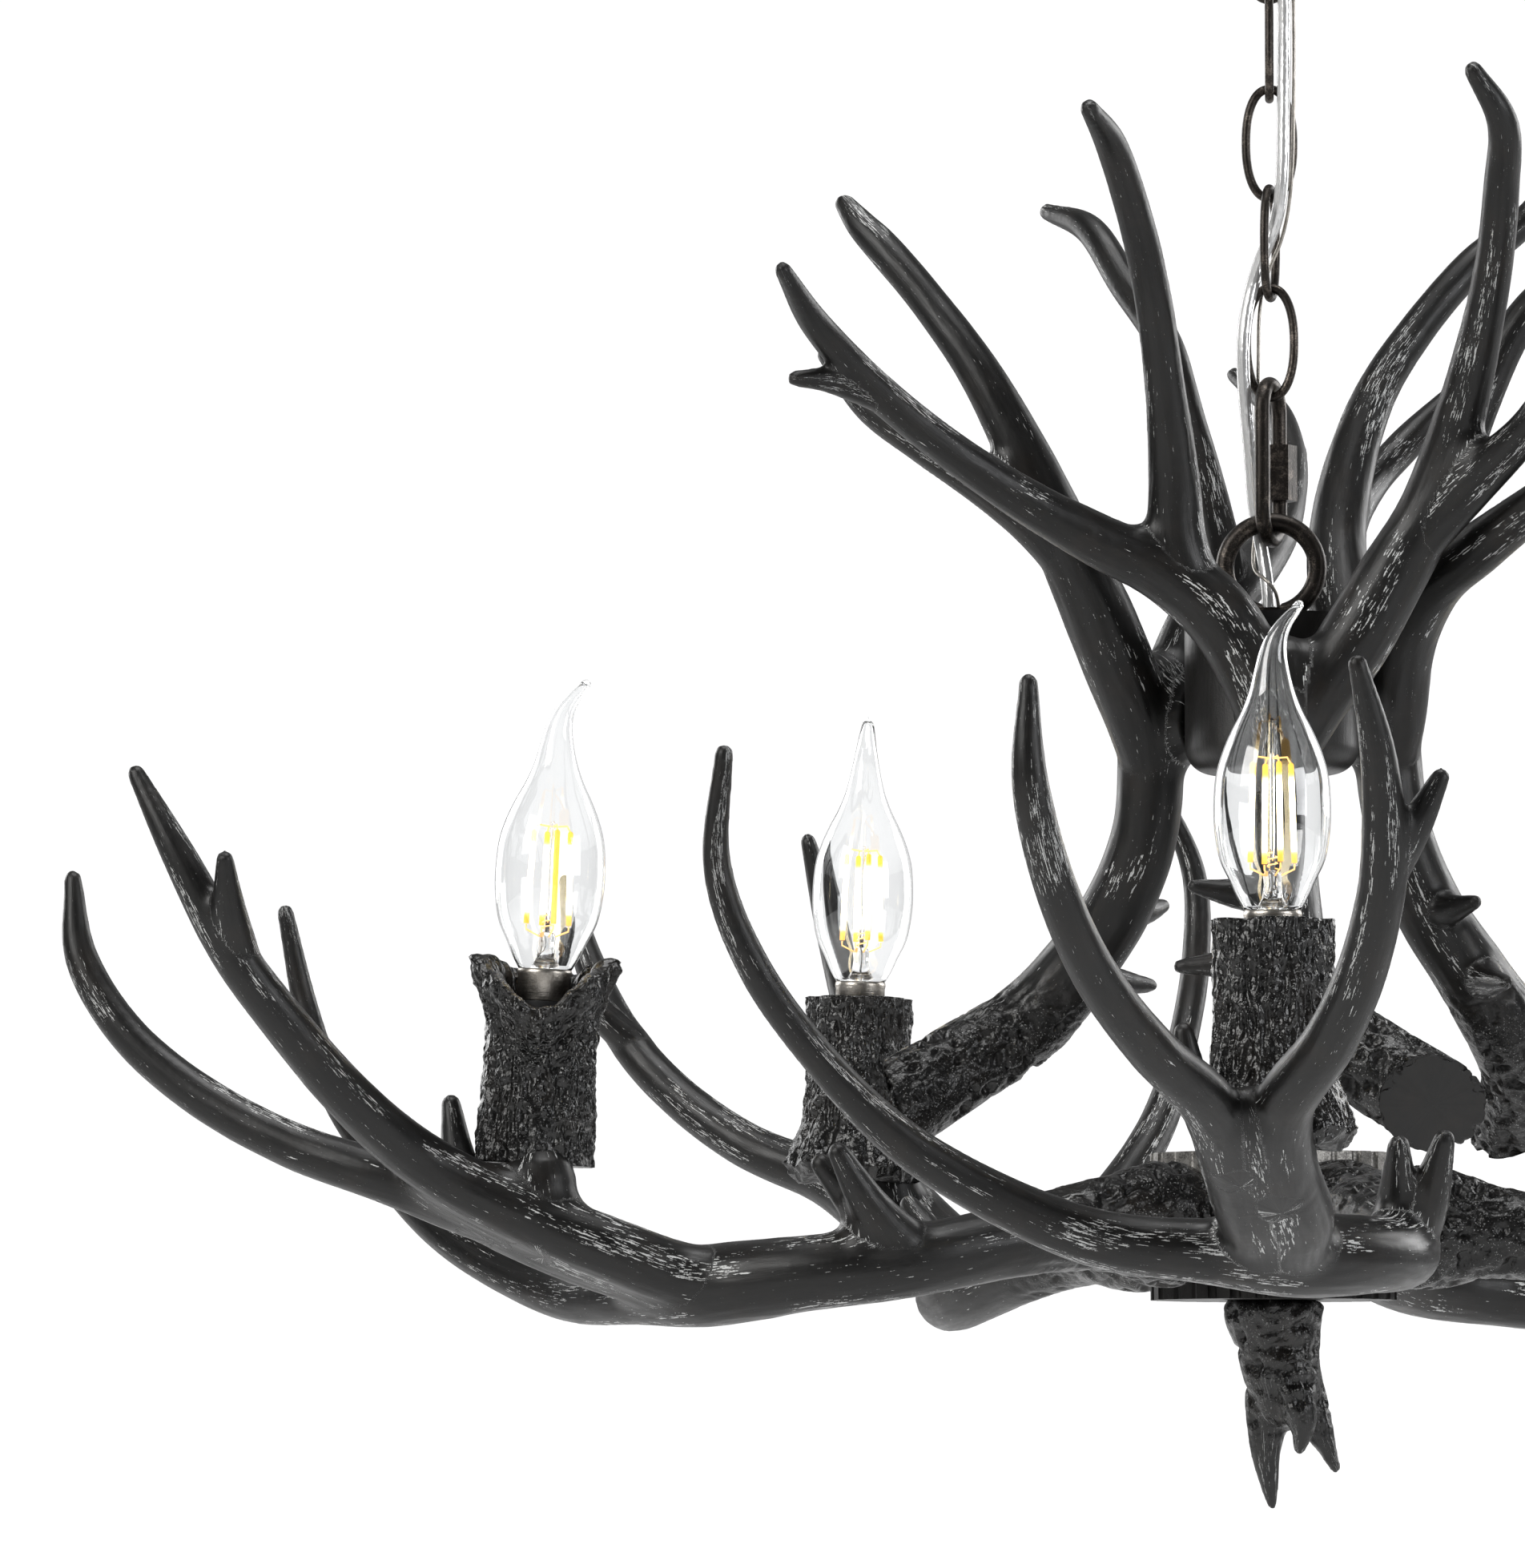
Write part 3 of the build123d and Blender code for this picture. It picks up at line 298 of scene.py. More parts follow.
def glowMaterial(name, values):
    material, tree, shader = newTree(name)
    fromMiddle = calc(tree, "ABSOLUTE", calc(tree, "SUBTRACT", attributeOf(tree, "share"), 0.5))
    end = spread(tree, fromMiddle, 0.30, 0.44)
    light = mixColor(tree, end, values["middle"], values["ends"])
    strength = spread(tree, end, 0.0, 1.0, values["strength"], values["endStrength"])
    tree.links.new(light, shader.inputs["Emission Color"])
    tree.links.new(strength, shader.inputs["Emission Strength"])
    tree.links.new(mixColor(tree, end, (0.9, 0.75, 0.4), (0.8, 0.5, 0.12)), shader.inputs["Base Color"])
    shader.inputs["Roughness"].default_value = 0.5
    return material


resin = resinMaterial("resin", resinValues)
bark = resinMaterial("bark", {**resinValues, "roughness": 0.30, "specular": 0.42, "bump": 0.45})
metals = {name: metalMaterial(name) for name in metalValues}
phenolic = plasticMaterial("phenolic", (0.012, 0.012, 0.012), 0.35)
whitePlastic = plasticMaterial("whitePlastic", (0.75, 0.75, 0.73), 0.3)
glass = glassMaterial("glass", glassValues)
glow = glowMaterial("glow", glowValues)
wireGlow = glowMaterial("wireGlow", wireValues)
print("materials made")

# cords: radius and points in millimetres over the middle of the lower hub, length in metres

cordValues = {
    "radius": 2.2,
    "length": 0.308,
    "points": [
        (6.09, -15.87, 500), (6.09, -15.87, 484), (5.7, -14.2, 462), (5.2, -10.5, 436), (5.0, -7, 410),
        (4.9, -5.2, 386), (4.6, -4.8, 362), (4.3, -4.6, 342), (2.8, -2.6, 330), (-0.3, 0.2, 321.5),
        (-4.0, -1.6, 312.5), (-7.0, -4.3, 302), (-8.8, -4.7, 290), (-8.9, -4.0, 277), (-7.9, -2.4, 265),
        (-6.6, 0.2, 252), (-5.9, 3.6, 240), (-4.7, 6.2, 230), (-3.0, 5.0, 220.5), (-1.6, 2.0, 212),
        (-0.8, 0, 203), (-0.8, 0, 192),
    ],
}
earthValues = {
    "radius": 0.6,
    "length": 0.312,
    "points": [
        (2.49, -13.67, 500), (2.49, -13.67, 484), (2.0, -11.4, 462), (4.6, -6.2, 436), (7.9, -4.6, 410),
        (8.1, -4.0, 386), (7.9, -4.0, 362), (7.3, -3.4, 342), (5.9, -1.2, 330), (3.6, 0.6, 321),
        (0.6, 1.2, 314.5), (-2.4, 3.2, 307), (-3.8, 2.6, 297), (-3.9, 2.2, 285), (-4.2, 3.4, 272),
        (-4.4, 5.2, 258), (-4.5, 7.6, 244), (-4.5, 9.8, 232), (-6.0, 8.2, 220), (-5.7, 2.6, 213.5),
        (-1.6, -3.2, 210), (1.5, -2.8, 206.5), (2.45, -0.5, 201.5), (2.45, 0.1, 192),
    ],
}


def makeCord(name, values):
    points = [(x / 1000, y / 1000, (z + placeValues["lowerCentre"]) / 1000) for x, y, z in values["points"]]
    curve = bpy.data.curves.new(name, "CURVE")
    curve.dimensions = "3D"
    spline = curve.splines.new("NURBS")
    spline.points.add(len(points) - 1)
    for slotPoint, point in zip(spline.points, points):
        slotPoint.co = (*point, 1)
        slotPoint.radius = values["radius"] / 1000
    spline.order_u = 3
    spline.use_endpoint_u = True
    curve.resolution_u = 8
    curve.bevel_depth = 1.0  # times each point's radius
    curve.bevel_resolution = 5
    curve.use_fill_caps = True
    cord = bpy.data.objects.new(name, curve)
    bpy.context.scene.collection.objects.link(cord)
    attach(cord, "ceiling_mount")
    return cord


def flexMaterial(name):
    material, tree, shader = newTree(name)
    place = addNode(tree, "ShaderNodeTexCoord")
    around = addNode(tree, "ShaderNodeSeparateXYZ", Vector=place.outputs["UV"]).outputs[1]
    wave = calc(tree, "SINE", calc(tree, "MULTIPLY", around, 4 * math.pi))
    strands = spread(tree, wave, -0.2, 0.7)
    weave = noiseOf(tree, place.outputs["Object"], 1500, 2, 0.5, (1, 1, 0.25))
    colour = mixColor(tree, strands, (0.93, 0.93, 0.93), (0.72, 0.72, 0.72))
    tree.links.new(colour, shader.inputs["Base Color"])
    tree.links.new(calc(tree, "MULTIPLY", strands, 0.6), shader.inputs["Metallic"])
    tree.links.new(spread(tree, strands, 0.0, 1.0, 0.55, 0.0), shader.inputs["Transmission Weight"])
    shader.inputs["Roughness"].default_value = 0.18
    shader.inputs["Coat Weight"].default_value = 0.8
    shader.inputs["Coat Roughness"].default_value = 0.08
    bumpOn(tree, shader, calc(tree, "ADD", weave, strands), 0.35, 0.0005)
    return material


flex = makeCord("flex", cordValues)
flex.data.materials.append(flexMaterial("flexSleeve"))
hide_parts("power_cord")
earth = makeCord("earthWire", earthValues)
earth.data.materials.append(metals["earthCopper"])
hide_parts("earth_wire")
print("cords made")

# antlers: stations (x, y, z, radius) in millimetres along each beam of a mould

lowerBeams = {
    "main": [(46, 22, 0, 15), (75, 29, -2, 13), (106, 37, -9, 11.5), (138, 38, -15, 11.5),
             (168, 27, -17, 12), (192, 4, -17, 13), (208, -25, -15, 9.8), (219, -56, -10, 8.8),
             (232, -85, 3, 7.6), (245, -112, 21, 6.6), (257, -134, 45, 5.5), (267, -152, 73, 5.2),
             (273, -161, 103, 4.4), (280, -157, 135.5, 2.9)],
    "outer": [(176, 20, -17, 8), (200, -3, -14, 10), (225, -9, -6, 10), (256, -14, 8, 9.5),
              (287, -20, 23, 8.5), (315, -36, 38, 7.4), (340, -51, 58, 6.9), (361, -61, 82, 6.3),
              (374, -66.5, 110, 5.5), (376.2, -65.6, 138.2, 2.9)],
    "inner": [(176, 22, -17, 8), (200, 6, -14, 10), (225, 6, -6, 10), (256, 2, 8, 9.5),
              (285, 3, 23, 8.8), (311, 17, 39, 8), (334, 28, 60, 7.4), (354, 34, 84, 6.9),
              (369, 34.5, 113, 5.5), (380.5, 30, 140.0, 2.9)],
    "snag": [(350, 33, 80, 6.4), (356, 43, 95, 5.1), (359, 51, 108.5, 2.9)],
    "brow": [(136, 36, -12, 8.5), (150, 37, -1, 6.8), (165, 38, 16, 3.6)],
    "secondBrow": [(137, 40, -12, 8.5), (151, 46, -1, 6.8), (164, 52, 17, 3.6)],
    "prong": [(262, -14, 6, 7.6), (265, -23, 27, 5.7), (266, -26, 46.5, 3.3)],
    "web": [(252, -5, 7, 9.5), (268, -7, 15, 9.6), (280, -8.3, 21.5, 7.6)],
    "burr": [(34.6, 16.5, 0, 15.5), (39.1, 18.6, 0, 18), (46.3, 22.1, 0, 18.5), (56.2, 26.8, 0, 16),
             (64.4, 30.7, 0, 12.5)],
    "stub": [(246, 0, 2, 10.5), (246, 0, 9, 11), (246, 0, 17, 11.8)],
}
upperBeams = {
    "stem": [(122, 54, -142, 13.5), (117, 42, -134, 13.3), (108, 22, -121, 12.6), (94, 7, -107, 12.6),
             (77, 2, -89, 12), (60, 1, -68, 11.5), (48, 1, -42, 11), (44, 3, -10, 11), (44, 3, 6, 10)],
    "left": [(44, 0, -20, 9), (43, -4, -4, 11), (40, -12, 14, 11.5), (39, -22, 27, 11.5),
             (40, -38, 38, 10), (43, -55, 45, 8.7), (50, -81, 58, 7.2), (61, -106, 73, 6.2),
             (76, -130, 90, 5.9), (95, -150, 108, 5.0), (119.5, -162, 122.5, 2.8)],
    "leftSnag": [(74, -128, 88, 5.4), (83, -144, 92, 4.3), (89, -156.5, 92, 2.7)],
    "leftHigh": [(39, -22, 24, 9), (41, -31, 44, 9.5), (46, -33, 67, 8.2), (56, -37, 96, 6.4),
                 (68, -42, 123, 6.0), (88, -49, 144, 5.7), (108, -58, 164, 5.2), (131.5, -67, 172.5, 3.1)],
    "right": [(44, 5, -20, 9), (43, 13, -4, 11), (43, 25, 14, 11.8), (45, 36, 33, 11.2),
              (49, 48, 55, 9.8), (57, 56, 79, 8.6), (70, 62, 106, 7.1), (88, 65, 130, 6.2),
              (108, 65, 152, 5.9), (127, 63, 168, 5.1), (134, 53, 183, 3.1)],
    "rightLow": [(47, 42, 42, 8), (54, 55, 57, 8.2), (65, 67, 69, 7.2), (80, 78, 81, 6),
                 (97, 85, 95, 5.7), (114.5, 85, 112.5, 3.1)],
    "brow": [(60, -2, -68, 7), (60, -15, -68, 4.8), (61, -28, -66, 2.5)],
    "secondBrow": [(77, -3, -89, 7), (73, -17, -91, 4.8), (70, -33, -92, 2.5)],
    "pad": [(26.5, 0, -7, 12.4), (36, 0, -7, 12.4), (44, 1, -7, 12)],
}
antlerValues = {
    "step": 2.0,
    "sides": 20,
    "voxel": 1.05,
    "coarseVoxel": 2.3,
    "slender": 6.4,  # thinner beams stay out of the coarse blank that fills the forks
    "coarseRounds": 150,
    "creaseRounds": 160,
    "near": 9,  # how far from a beam its grooves and bark reach
    "soft": 2.2,  # over what distance two beams' patterns blend
    "groove": 0.36,
    "barkDepth": 2.5,
    "level": 0.35,
    "lowerBark": (26, 85),  # from the seat, where the bark starts to fade and ends
    "upperBark": (-114, -84),  # the same by height
    # plane and direction of the upper stem's oblique cut
    "cutMiddle": (117, 42, -134),
    "cutFacing": (0.85, 0.35, -0.40),
    "cutAlong": (0.35, 0.78, -0.51),
    "cutReach": 45,
    "seeds": {"lower": 11, "upper": 111, "short": 211, "finial": 500},
}
upward = np.array([0.0, 0.0, 1.0])
roundTip = (25, 50, 70, 84)  # degrees round a tip's end at which it has a ring
# how far one tine's tip is bent from its mould, to the right and up, in millimetres
lowerBends = (
    {"outer": (0.6, 2.1), "inner": (-1.2, 0.0)},
    {"outer": (0.0, -11.4)},
    {"inner": (-0.9, -0.3)},
    {},
    {},
)
upperBends = (
    {"right": (0.1, 2.2), "stem": (-0.5, -3.0)},
    {"stem": (0.0, 4.7)},
    {},
)
# the second upper antler's right tine is shorter and straighter than the others'
shortTine = [(103, 67, 147, 6.0), (112, 68, 156, 5.1), (119, 67.5, 163.5, 3.5)]


def smoothLine(stations, step):
    points = np.array(stations, float)
    padded = np.vstack([2 * points[0] - points[1], points, 2 * points[-1] - points[-2]])
    rows = []
    for index in range(1, len(padded) - 2):
        a, b, c, d = padded[index - 1 : index + 3]
        count = max(3, int(np.linalg.norm(c[:3] - b[:3]) / step))
        square, cube = 2 * a - 5 * b + 4 * c - d, 3 * b - a - 3 * c + d
        for t in np.linspace(0, 1, count, endpoint=False):
            rows.append(0.5 * (2 * b + (c - a) * t + square * t**2 + cube * t**3))
    rows.append(padded[-2])
    return np.array(rows)


def ringQuads(rows, around):
    start = (np.arange(rows - 1)[:, None] * around + np.arange(around)[None]).ravel()
    side = (np.arange(rows - 1)[:, None] * around + (np.arange(around)[None] + 1) % around).ravel()
    return np.stack([start, side, side + around, start + around], 1)


# directions along a line and across it, carried on without twist
def framesAlong(points):
    tangents = np.gradient(points, axis=0)
    tangents /= np.linalg.norm(tangents, axis=1)[:, None]
    across = np.cross(tangents[0], (0.3, 0.2, 0.93))
    rows = []
    for tangent in tangents:
        across = across - tangent * across.dot(tangent)
        across /= np.linalg.norm(across)
        rows.append(across.copy())
    rows = np.array(rows)
    return tangents, rows, np.cross(tangents, rows)


def tubeOf(line, sides):
    tangents, across, up = framesAlong(line[:, :3])
    rings = [(line[i, :3], line[i, 3], i) for i in range(len(line))]
    last = len(line) - 1
    for degrees in roundTip:
        turn = math.radians(degrees)
        tip = line[last, :3] + tangents[last] * line[last, 3] * math.sin(turn)
        rings.append((tip, line[last, 3] * math.cos(turn), last))
    angles = np.linspace(0, 2 * math.pi, sides, endpoint=False)
    cosine, sine = np.cos(angles)[:, None], np.sin(angles)[:, None]
    points = [centre + radius * (cosine * across[i] + sine * up[i]) for centre, radius, i in rings]
    top = (len(rings) - 1) * sides
    faces = [tuple(quad) for quad in ringQuads(len(rings), sides).tolist()]
    faces.append(tuple(reversed(range(sides))))
    faces.append(tuple(top + side for side in range(sides)))
    return np.vstack(points), faces


def meshFrom(name, points, faces):
    mesh = bpy.data.meshes.new(name)
    mesh.from_pydata([tuple(p) for p in points], [], faces)
    mesh.update()
    return mesh


def remeshed(points, faces, voxel):
    mesh = meshFrom("rough", points, faces)
    rough = bpy.data.objects.new("rough", mesh)
    bpy.context.scene.collection.objects.link(rough)
    modifier = rough.modifiers.new("voxels", "REMESH")
    modifier.mode = "VOXEL"
    modifier.voxel_size = voxel
    dense = bpy.data.meshes.new_from_object(rough.evaluated_get(bpy.context.evaluated_depsgraph_get()))
    bpy.data.objects.remove(rough)
    bpy.data.meshes.remove(mesh)
    count = len(dense.vertices)
    place = np.empty(count * 3, np.float32)
    dense.vertices.foreach_get("co", place)
    corners = np.empty(len(dense.loops), np.int32)
    dense.loops.foreach_get("vertex_index", corners)
    quads = corners.reshape(-1, 4)
    bpy.data.meshes.remove(dense)
    return place.reshape(-1, 3).astype(float), quads


def normalsOf(points, quads):
    cross = np.cross(points[quads[:, 2]] - points[quads[:, 0]], points[quads[:, 3]] - points[quads[:, 1]])
    total = np.zeros_like(points)
    for corner in range(4):
        for axis in range(3):
            total[:, axis] += np.bincount(quads[:, corner], cross[:, axis], len(points))
    return total / np.maximum(np.linalg.norm(total, axis=1), 1e-9)[:, None]


def edgesOf(quads):
    pairs = np.vstack([quads[:, [0, 1]], quads[:, [1, 2]], quads[:, [2, 3]], quads[:, [3, 0]]])
    return np.unique(np.sort(pairs, axis=1), axis=0)


def neighbourMean(points, edges, degree):
    total = np.zeros_like(points)
    for axis in range(points.shape[1]):
        total[:, axis] = np.bincount(edges[:, 0], points[edges[:, 1], axis], len(points))
        total[:, axis] += np.bincount(edges[:, 1], points[edges[:, 0], axis], len(points))
    return total / degree[:, None]


# smooths a little, then lifts only the hollows, so that forks get webs and beams keep their thickness
def filledCreases(points, quads, rounds):
    edges = edgesOf(quads)
    degree = np.bincount(edges.ravel(), minlength=len(points)).astype(float)
    for _ in range(3):
        points = 0.5 * points + 0.5 * neighbourMean(points, edges, degree)
    for index in range(rounds):
        if index % 10 == 0:
            normals = normalsOf(points, quads)
        lift = ((neighbourMean(points, edges, degree) - points) * normals).sum(1)
        points = points + normals * (np.maximum(lift, 0) * 0.9)[:, None]
    return points


# gradient noise on a hashed grid, the same in every run
def gradientNoise(spots, seed):
    cell = np.floor(spots).astype(np.int64)
    part = spots - cell
    ease = part**3 * (part * (part * 6 - 15) + 10)
    total = np.zeros(len(spots))
    for corner in range(8):
        bits = np.array([corner & 1, corner >> 1 & 1, corner >> 2 & 1])
        x, y, z = (cell + bits).T
        mixed = (x * 73856093 ^ y * 19349663 ^ z * 83492791 ^ (seed * 97531)) & 0xFFFFFFFF
        mixed = ((mixed ^ (mixed >> 13)) * 1274126177) & 0xFFFFFFFF
        angle = (mixed & 1023) / 1024 * 2 * math.pi
        rise = ((mixed >> 11) & 1023) / 511.5 - 1
        flat = np.sqrt(np.maximum(1 - rise**2, 0))
        weight = np.where(bits, ease, 1 - ease).prod(1)
        across, aside, up = (part - bits).T
        total += weight * (across * flat * np.cos(angle) + aside * flat * np.sin(angle) + up * rise)
    return total


def smoothStep(value, low, high):
    share = np.clip((value - low) / (high - low), 0, 1)
    return share * share * (3 - 2 * share)


def ridges(spots, seed, sharpness):
    return 1 - sharpness * np.abs(gradientNoise(spots, seed))


def joined(shapes):
    points, faces, base = [], [], 0
    for shapePoints, shapeFaces in shapes:
        points.append(shapePoints)
        faces += [tuple(int(corner) + base for corner in face) for face in shapeFaces]
        base += len(shapePoints)
    return np.vstack(points), faces


def blankOf(beams):
    values = antlerValues
    lines = {name: smoothLine(stations, values["step"]) for name, stations in beams.items()}
    tubes = [tubeOf(line, values["sides"]) for line in lines.values()]
    thick = [line[line[:, 3] > values["slender"]] for line in lines.values()]
    stout = [tubeOf(line, values["sides"]) for line in thick if len(line) > 3]
    # forks are filled twice: coarsely on the stout beams alone, then finely on the whole
    core, coreQuads = remeshed(*joined(stout), values["coarseVoxel"])
    core = filledCreases(core, coreQuads, values["coarseRounds"])
    tubes.append((core, coreQuads.tolist()))
    points, quads = remeshed(*joined(tubes), values["voxel"])
    points = filledCreases(points, quads, values["creaseRounds"])
    return lines, points, quads


def nearestOn(line, points):
    gap = np.full(len(points), 1e9)
    best = np.zeros(len(points), int)
    for index in range(len(line)):
        distance = np.linalg.norm(points - line[index, :3], axis=1) - line[index, 3]
        closer = distance < gap
        gap[closer] = distance[closer]
        best[closer] = index
    return gap, best


def reliefOn(circle, run, points, share, rough, seed, order):
    def pattern(turns, length, offset, sharpness=2.4):
        return ridges(circle * turns + np.outer(run / length, upward), seed + offset + order, sharpness)

    wide, fine, knots = pattern(2.3, 34, 0), pattern(4.4, 20, 20), pattern(2.4, 11, 40, 2.6)
    pearls = ridges(points / 6.0, seed + 60, 3.0) + 0.7 * gradientNoise(points / 2.9, seed + 61)
    grooves = (1 - rough) * (0.6 * wide + 0.4 * fine) * (1 - 0.75 * smoothStep(share, 0.35, 0.95))
    knobs = 1.5 * smoothStep(0.5 * knots + 0.3 * wide + 0.6 * pearls, -0.2, 1.0) - 0.35
    return grooves + rough * knobs


# slides what lies past the cut back onto its plane
def cutOff(points):
    values = antlerValues
    keys = ("cutMiddle", "cutFacing", "cutAlong")
    middle, facing, direction = (np.array(values[key], float) for key in keys)
    past = ((points - middle) * facing).sum(1) / direction.dot(facing)
    past[np.linalg.norm(points - middle, axis=1) > values["cutReach"]] = 0
    cut = past > 0
    points[cut] -= past[cut, None] * direction
    return cut


def buildMould(beams, barkShare, seed):
    values = antlerValues
    lines, points, quads = blankOf(beams)
    count = len(points)
    nearest = np.full(count, 1e9)
    weights, heights, flows, roughs, shares = [], [], [], [], []
    for order, (name, line) in enumerate(lines.items()):
        tangents, across, up = framesAlong(line[:, :3])
        along = np.concatenate([[0], np.cumsum(np.linalg.norm(np.diff(line[:, :3], axis=0), axis=1))])
        gap, best = nearestOn(line, points)
        offset = points - line[best, :3]
        run = along[best] + (offset * tangents[best]).sum(1)
        angle = np.arctan2((offset * up[best]).sum(1), (offset * across[best]).sum(1))
        share = np.clip(run / along[-1], 0, 1)
        rough = barkShare(name, points)
        circle = np.stack([np.cos(angle), np.sin(angle), np.zeros(count)], 1)
        near = gap < values["near"]
        height = np.zeros(count)
        height[near] = reliefOn(circle[near], run[near], points[near], share[near], rough[near], seed, order)
        weight = np.exp(-np.maximum(gap, -8) / values["soft"])
        weight[~near] = 0
        weights.append(weight)
        heights.append(height)
        # each beam has a stretch of the pattern of its own
        flows.append(np.stack([np.cos(angle) * 8, np.sin(angle) * 8, run + 400 * order], 1))
        roughs.append(rough)
        shares.append(share)
        nearest = np.minimum(nearest, gap)
    weights = np.array(weights)
    total = weights.sum(0) + 1e-12
    height, rough = ((weights * np.array(rows)).sum(0) / total for rows in (heights, roughs))
    crease = np.clip((nearest - 0.4) / 4.0, 0, 1)
    flow = np.array(flows)[weights.argmax(0), np.arange(count)]
    depth = values["groove"] * (1 - rough) + values["barkDepth"] * rough
    points = points + normalsOf(points, quads) * ((height - values["level"]) * depth)[:, None]
    if "stem" in beams:
        cut = cutOff(points)
        rough[cut] = 0
        height[cut] = -1
        crease[cut] = 0
    return {
        "points": points,
        "quads": quads,
        "owned": {name: (weight / total, share) for name, weight, share in zip(lines, weights, shares)},
        "ridge": np.clip(height * 0.5 + 0.5, 0, 1),
        "rough": rough,
        "crotch": crease,
        "flow": flow / 1000,
    }


def lowerBark(name, points):
    turn = math.radians(placeValues["seatTurn"])
    fromSeat = points[:, 0] * math.cos(turn) + points[:, 1] * math.sin(turn) - placeValues["lowerFlat"]
    rough = 1 - smoothStep(fromSeat, *antlerValues["lowerBark"])
    return rough * 0.5 if name in ("brow", "secondBrow") else rough


def upperBark(name, points):
    return 1 - smoothStep(points[:, 2], *antlerValues["upperBark"])


def turned(angle):
    cosine, sine = math.cos(angle), math.sin(angle)
    return np.array([[cosine, -sine, 0], [sine, cosine, 0], [0, 0, 1]])


def rotation(lean):
    rx, ry, rz = (math.radians(v) for v in lean)
    turnX = np.array([[1, 0, 0], [0, math.cos(rx), -math.sin(rx)], [0, math.sin(rx), math.cos(rx)]])
    turnY = np.array([[math.cos(ry), 0, math.sin(ry)], [0, 1, 0], [-math.sin(ry), 0, math.cos(ry)]])
    return turned(rz) @ turnY @ turnX


def settled(points, kind, index):
    pivot = np.array(placeValues[kind + "Pivot"])
    moved = (points - pivot) @ rotation(placeValues[kind + "Leans"][index]).T + pivot
    angle = math.radians(placeValues[kind + "Azimuths"][index])
    x = moved[:, 0] * math.cos(angle) - moved[:, 1] * math.sin(angle)
    y = moved[:, 0] * math.sin(angle) + moved[:, 1] * math.cos(angle)
    return np.stack([x, y, moved[:, 2] + placeValues[kind + "Centre"]], 1)


def bent(points, owned, bends):
    moved = points.copy()
    for name, (right, up) in bends.items():
        weight, share = owned[name]
        amount = weight * (1 - share if name == "stem" else share) ** 2
        moved[:, 0] += right * amount
        moved[:, 2] += up * amount
    return moved


def addPiece(name, points, quads, material, body, attributes=None):
    mesh = bpy.data.meshes.new(name)
    points = np.asarray(points, float) / 1000
    mesh.vertices.add(len(points))
    mesh.vertices.foreach_set("co", points.astype(np.float32).ravel())
    quads = np.asarray(quads, np.int32)
    mesh.loops.add(quads.size)
    mesh.loops.foreach_set("vertex_index", quads.ravel())
    mesh.polygons.add(len(quads))
    mesh.polygons.foreach_set("loop_start", np.arange(0, quads.size, 4, dtype=np.int32))
    mesh.polygons.foreach_set("use_smooth", np.full(len(quads), True))
    mesh.update(calc_edges=True)
    mesh.validate()
    for key, values in (attributes or {}).items():
        vector = values.ndim == 2
        attribute = mesh.attributes.new(key, "FLOAT_VECTOR" if vector else "FLOAT", "POINT")
        attribute.data.foreach_set("vector" if vector else "value", values.astype(np.float32).ravel())
    return linked(name, mesh, material, body)


def linked(name, mesh, material, body):
    mesh.materials.append(material)
    piece = bpy.data.objects.new(name, mesh)
    bpy.context.scene.collection.objects.link(piece)
    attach(piece, body)
    return piece


def castPiece(name, points, mould, material):
    attributes = {key: mould[key] for key in ("ridge", "rough", "crotch", "flow")}
    return addPiece(name, points, mould["quads"], material, "chandelier", attributes)


def antlerPieces(kind, moulds, bends):
    for index, (mould, tips) in enumerate(zip(moulds, bends)):
        points = bent(settled(mould["points"], kind, index), mould["owned"], tips)
        piece = castPiece(f"{kind}Antler{index + 1}", points, mould, resin)
        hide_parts(f"{kind}_antler_{index + 1}")


seeds = antlerValues["seeds"]
lowerMould = buildMould(lowerBeams, lowerBark, seeds["lower"])
print("lower mould:", len(lowerMould["quads"]), "faces")
upperMould = buildMould(upperBeams, upperBark, seeds["upper"])
shortBeams = {**upperBeams, "right": upperBeams["right"][:-3] + shortTine}
shortMould = buildMould(shortBeams, upperBark, seeds["short"])
print("upper moulds:", len(upperMould["quads"]), "and", len(shortMould["quads"]), "faces")
antlerPieces("lower", [lowerMould] * 5, lowerBends)
antlerPieces("upper", [upperMould, shortMould, upperMould], upperBends)
print("antlers placed")

# cups

cupValues = {
    # height of the cup's foot, its rim and the bulb's glass over the middle of the lower hub
    "heights": ((17.5, 84.5, 87.7), (18.1, 85.1, 80.0), (21.6, 84.0, 90.0), (18.0, 84.5, 87.5),
                (17.0, 83.5, 87.0)),
    "leans": (0.0, 3.0, 1.5, 0.0, 0.0),
    "crownUp": (False, True, False, False, False),
    # share of the height and radius there, with the torn crown below or above
    "crownDown": ((0.0, 20.5), (0.07, 23.2), (0.17, 21.0), (0.3, 18.2), (0.5, 17.1), (0.75, 16.9),
                  (1.0, 17.4)),
    "crownUpper": ((0.0, 18.0), (0.15, 17.8), (0.35, 17.0), (0.55, 16.8), (0.72, 17.3), (0.82, 18.8),
                   (0.9, 20.6), (0.96, 21.6), (1.0, 21.7)),
    # how far in from the rim and up the inside runs
    "plainLip": ((0.4, 0.5), (1.0, 0.6), (9.5, 0.6), (9.5, -1.0), (9.5, -24.0)),
    "tornLip": ((0.2, 0.5), (1.1, 1.2), (2.8, 1.6), (4.4, 1.3), (5.8, 0.0), (6.9, -2.5), (7.8, -7.0),
                (9.0, -15.0), (9.5, -42.0)),
    "bore": 14.2,
    "frontDip": 16.0,
    "backDip": 5.0,
    "lobes": 7,
    "around": 300,
    "rows": 170,
    "seed": 300,
}


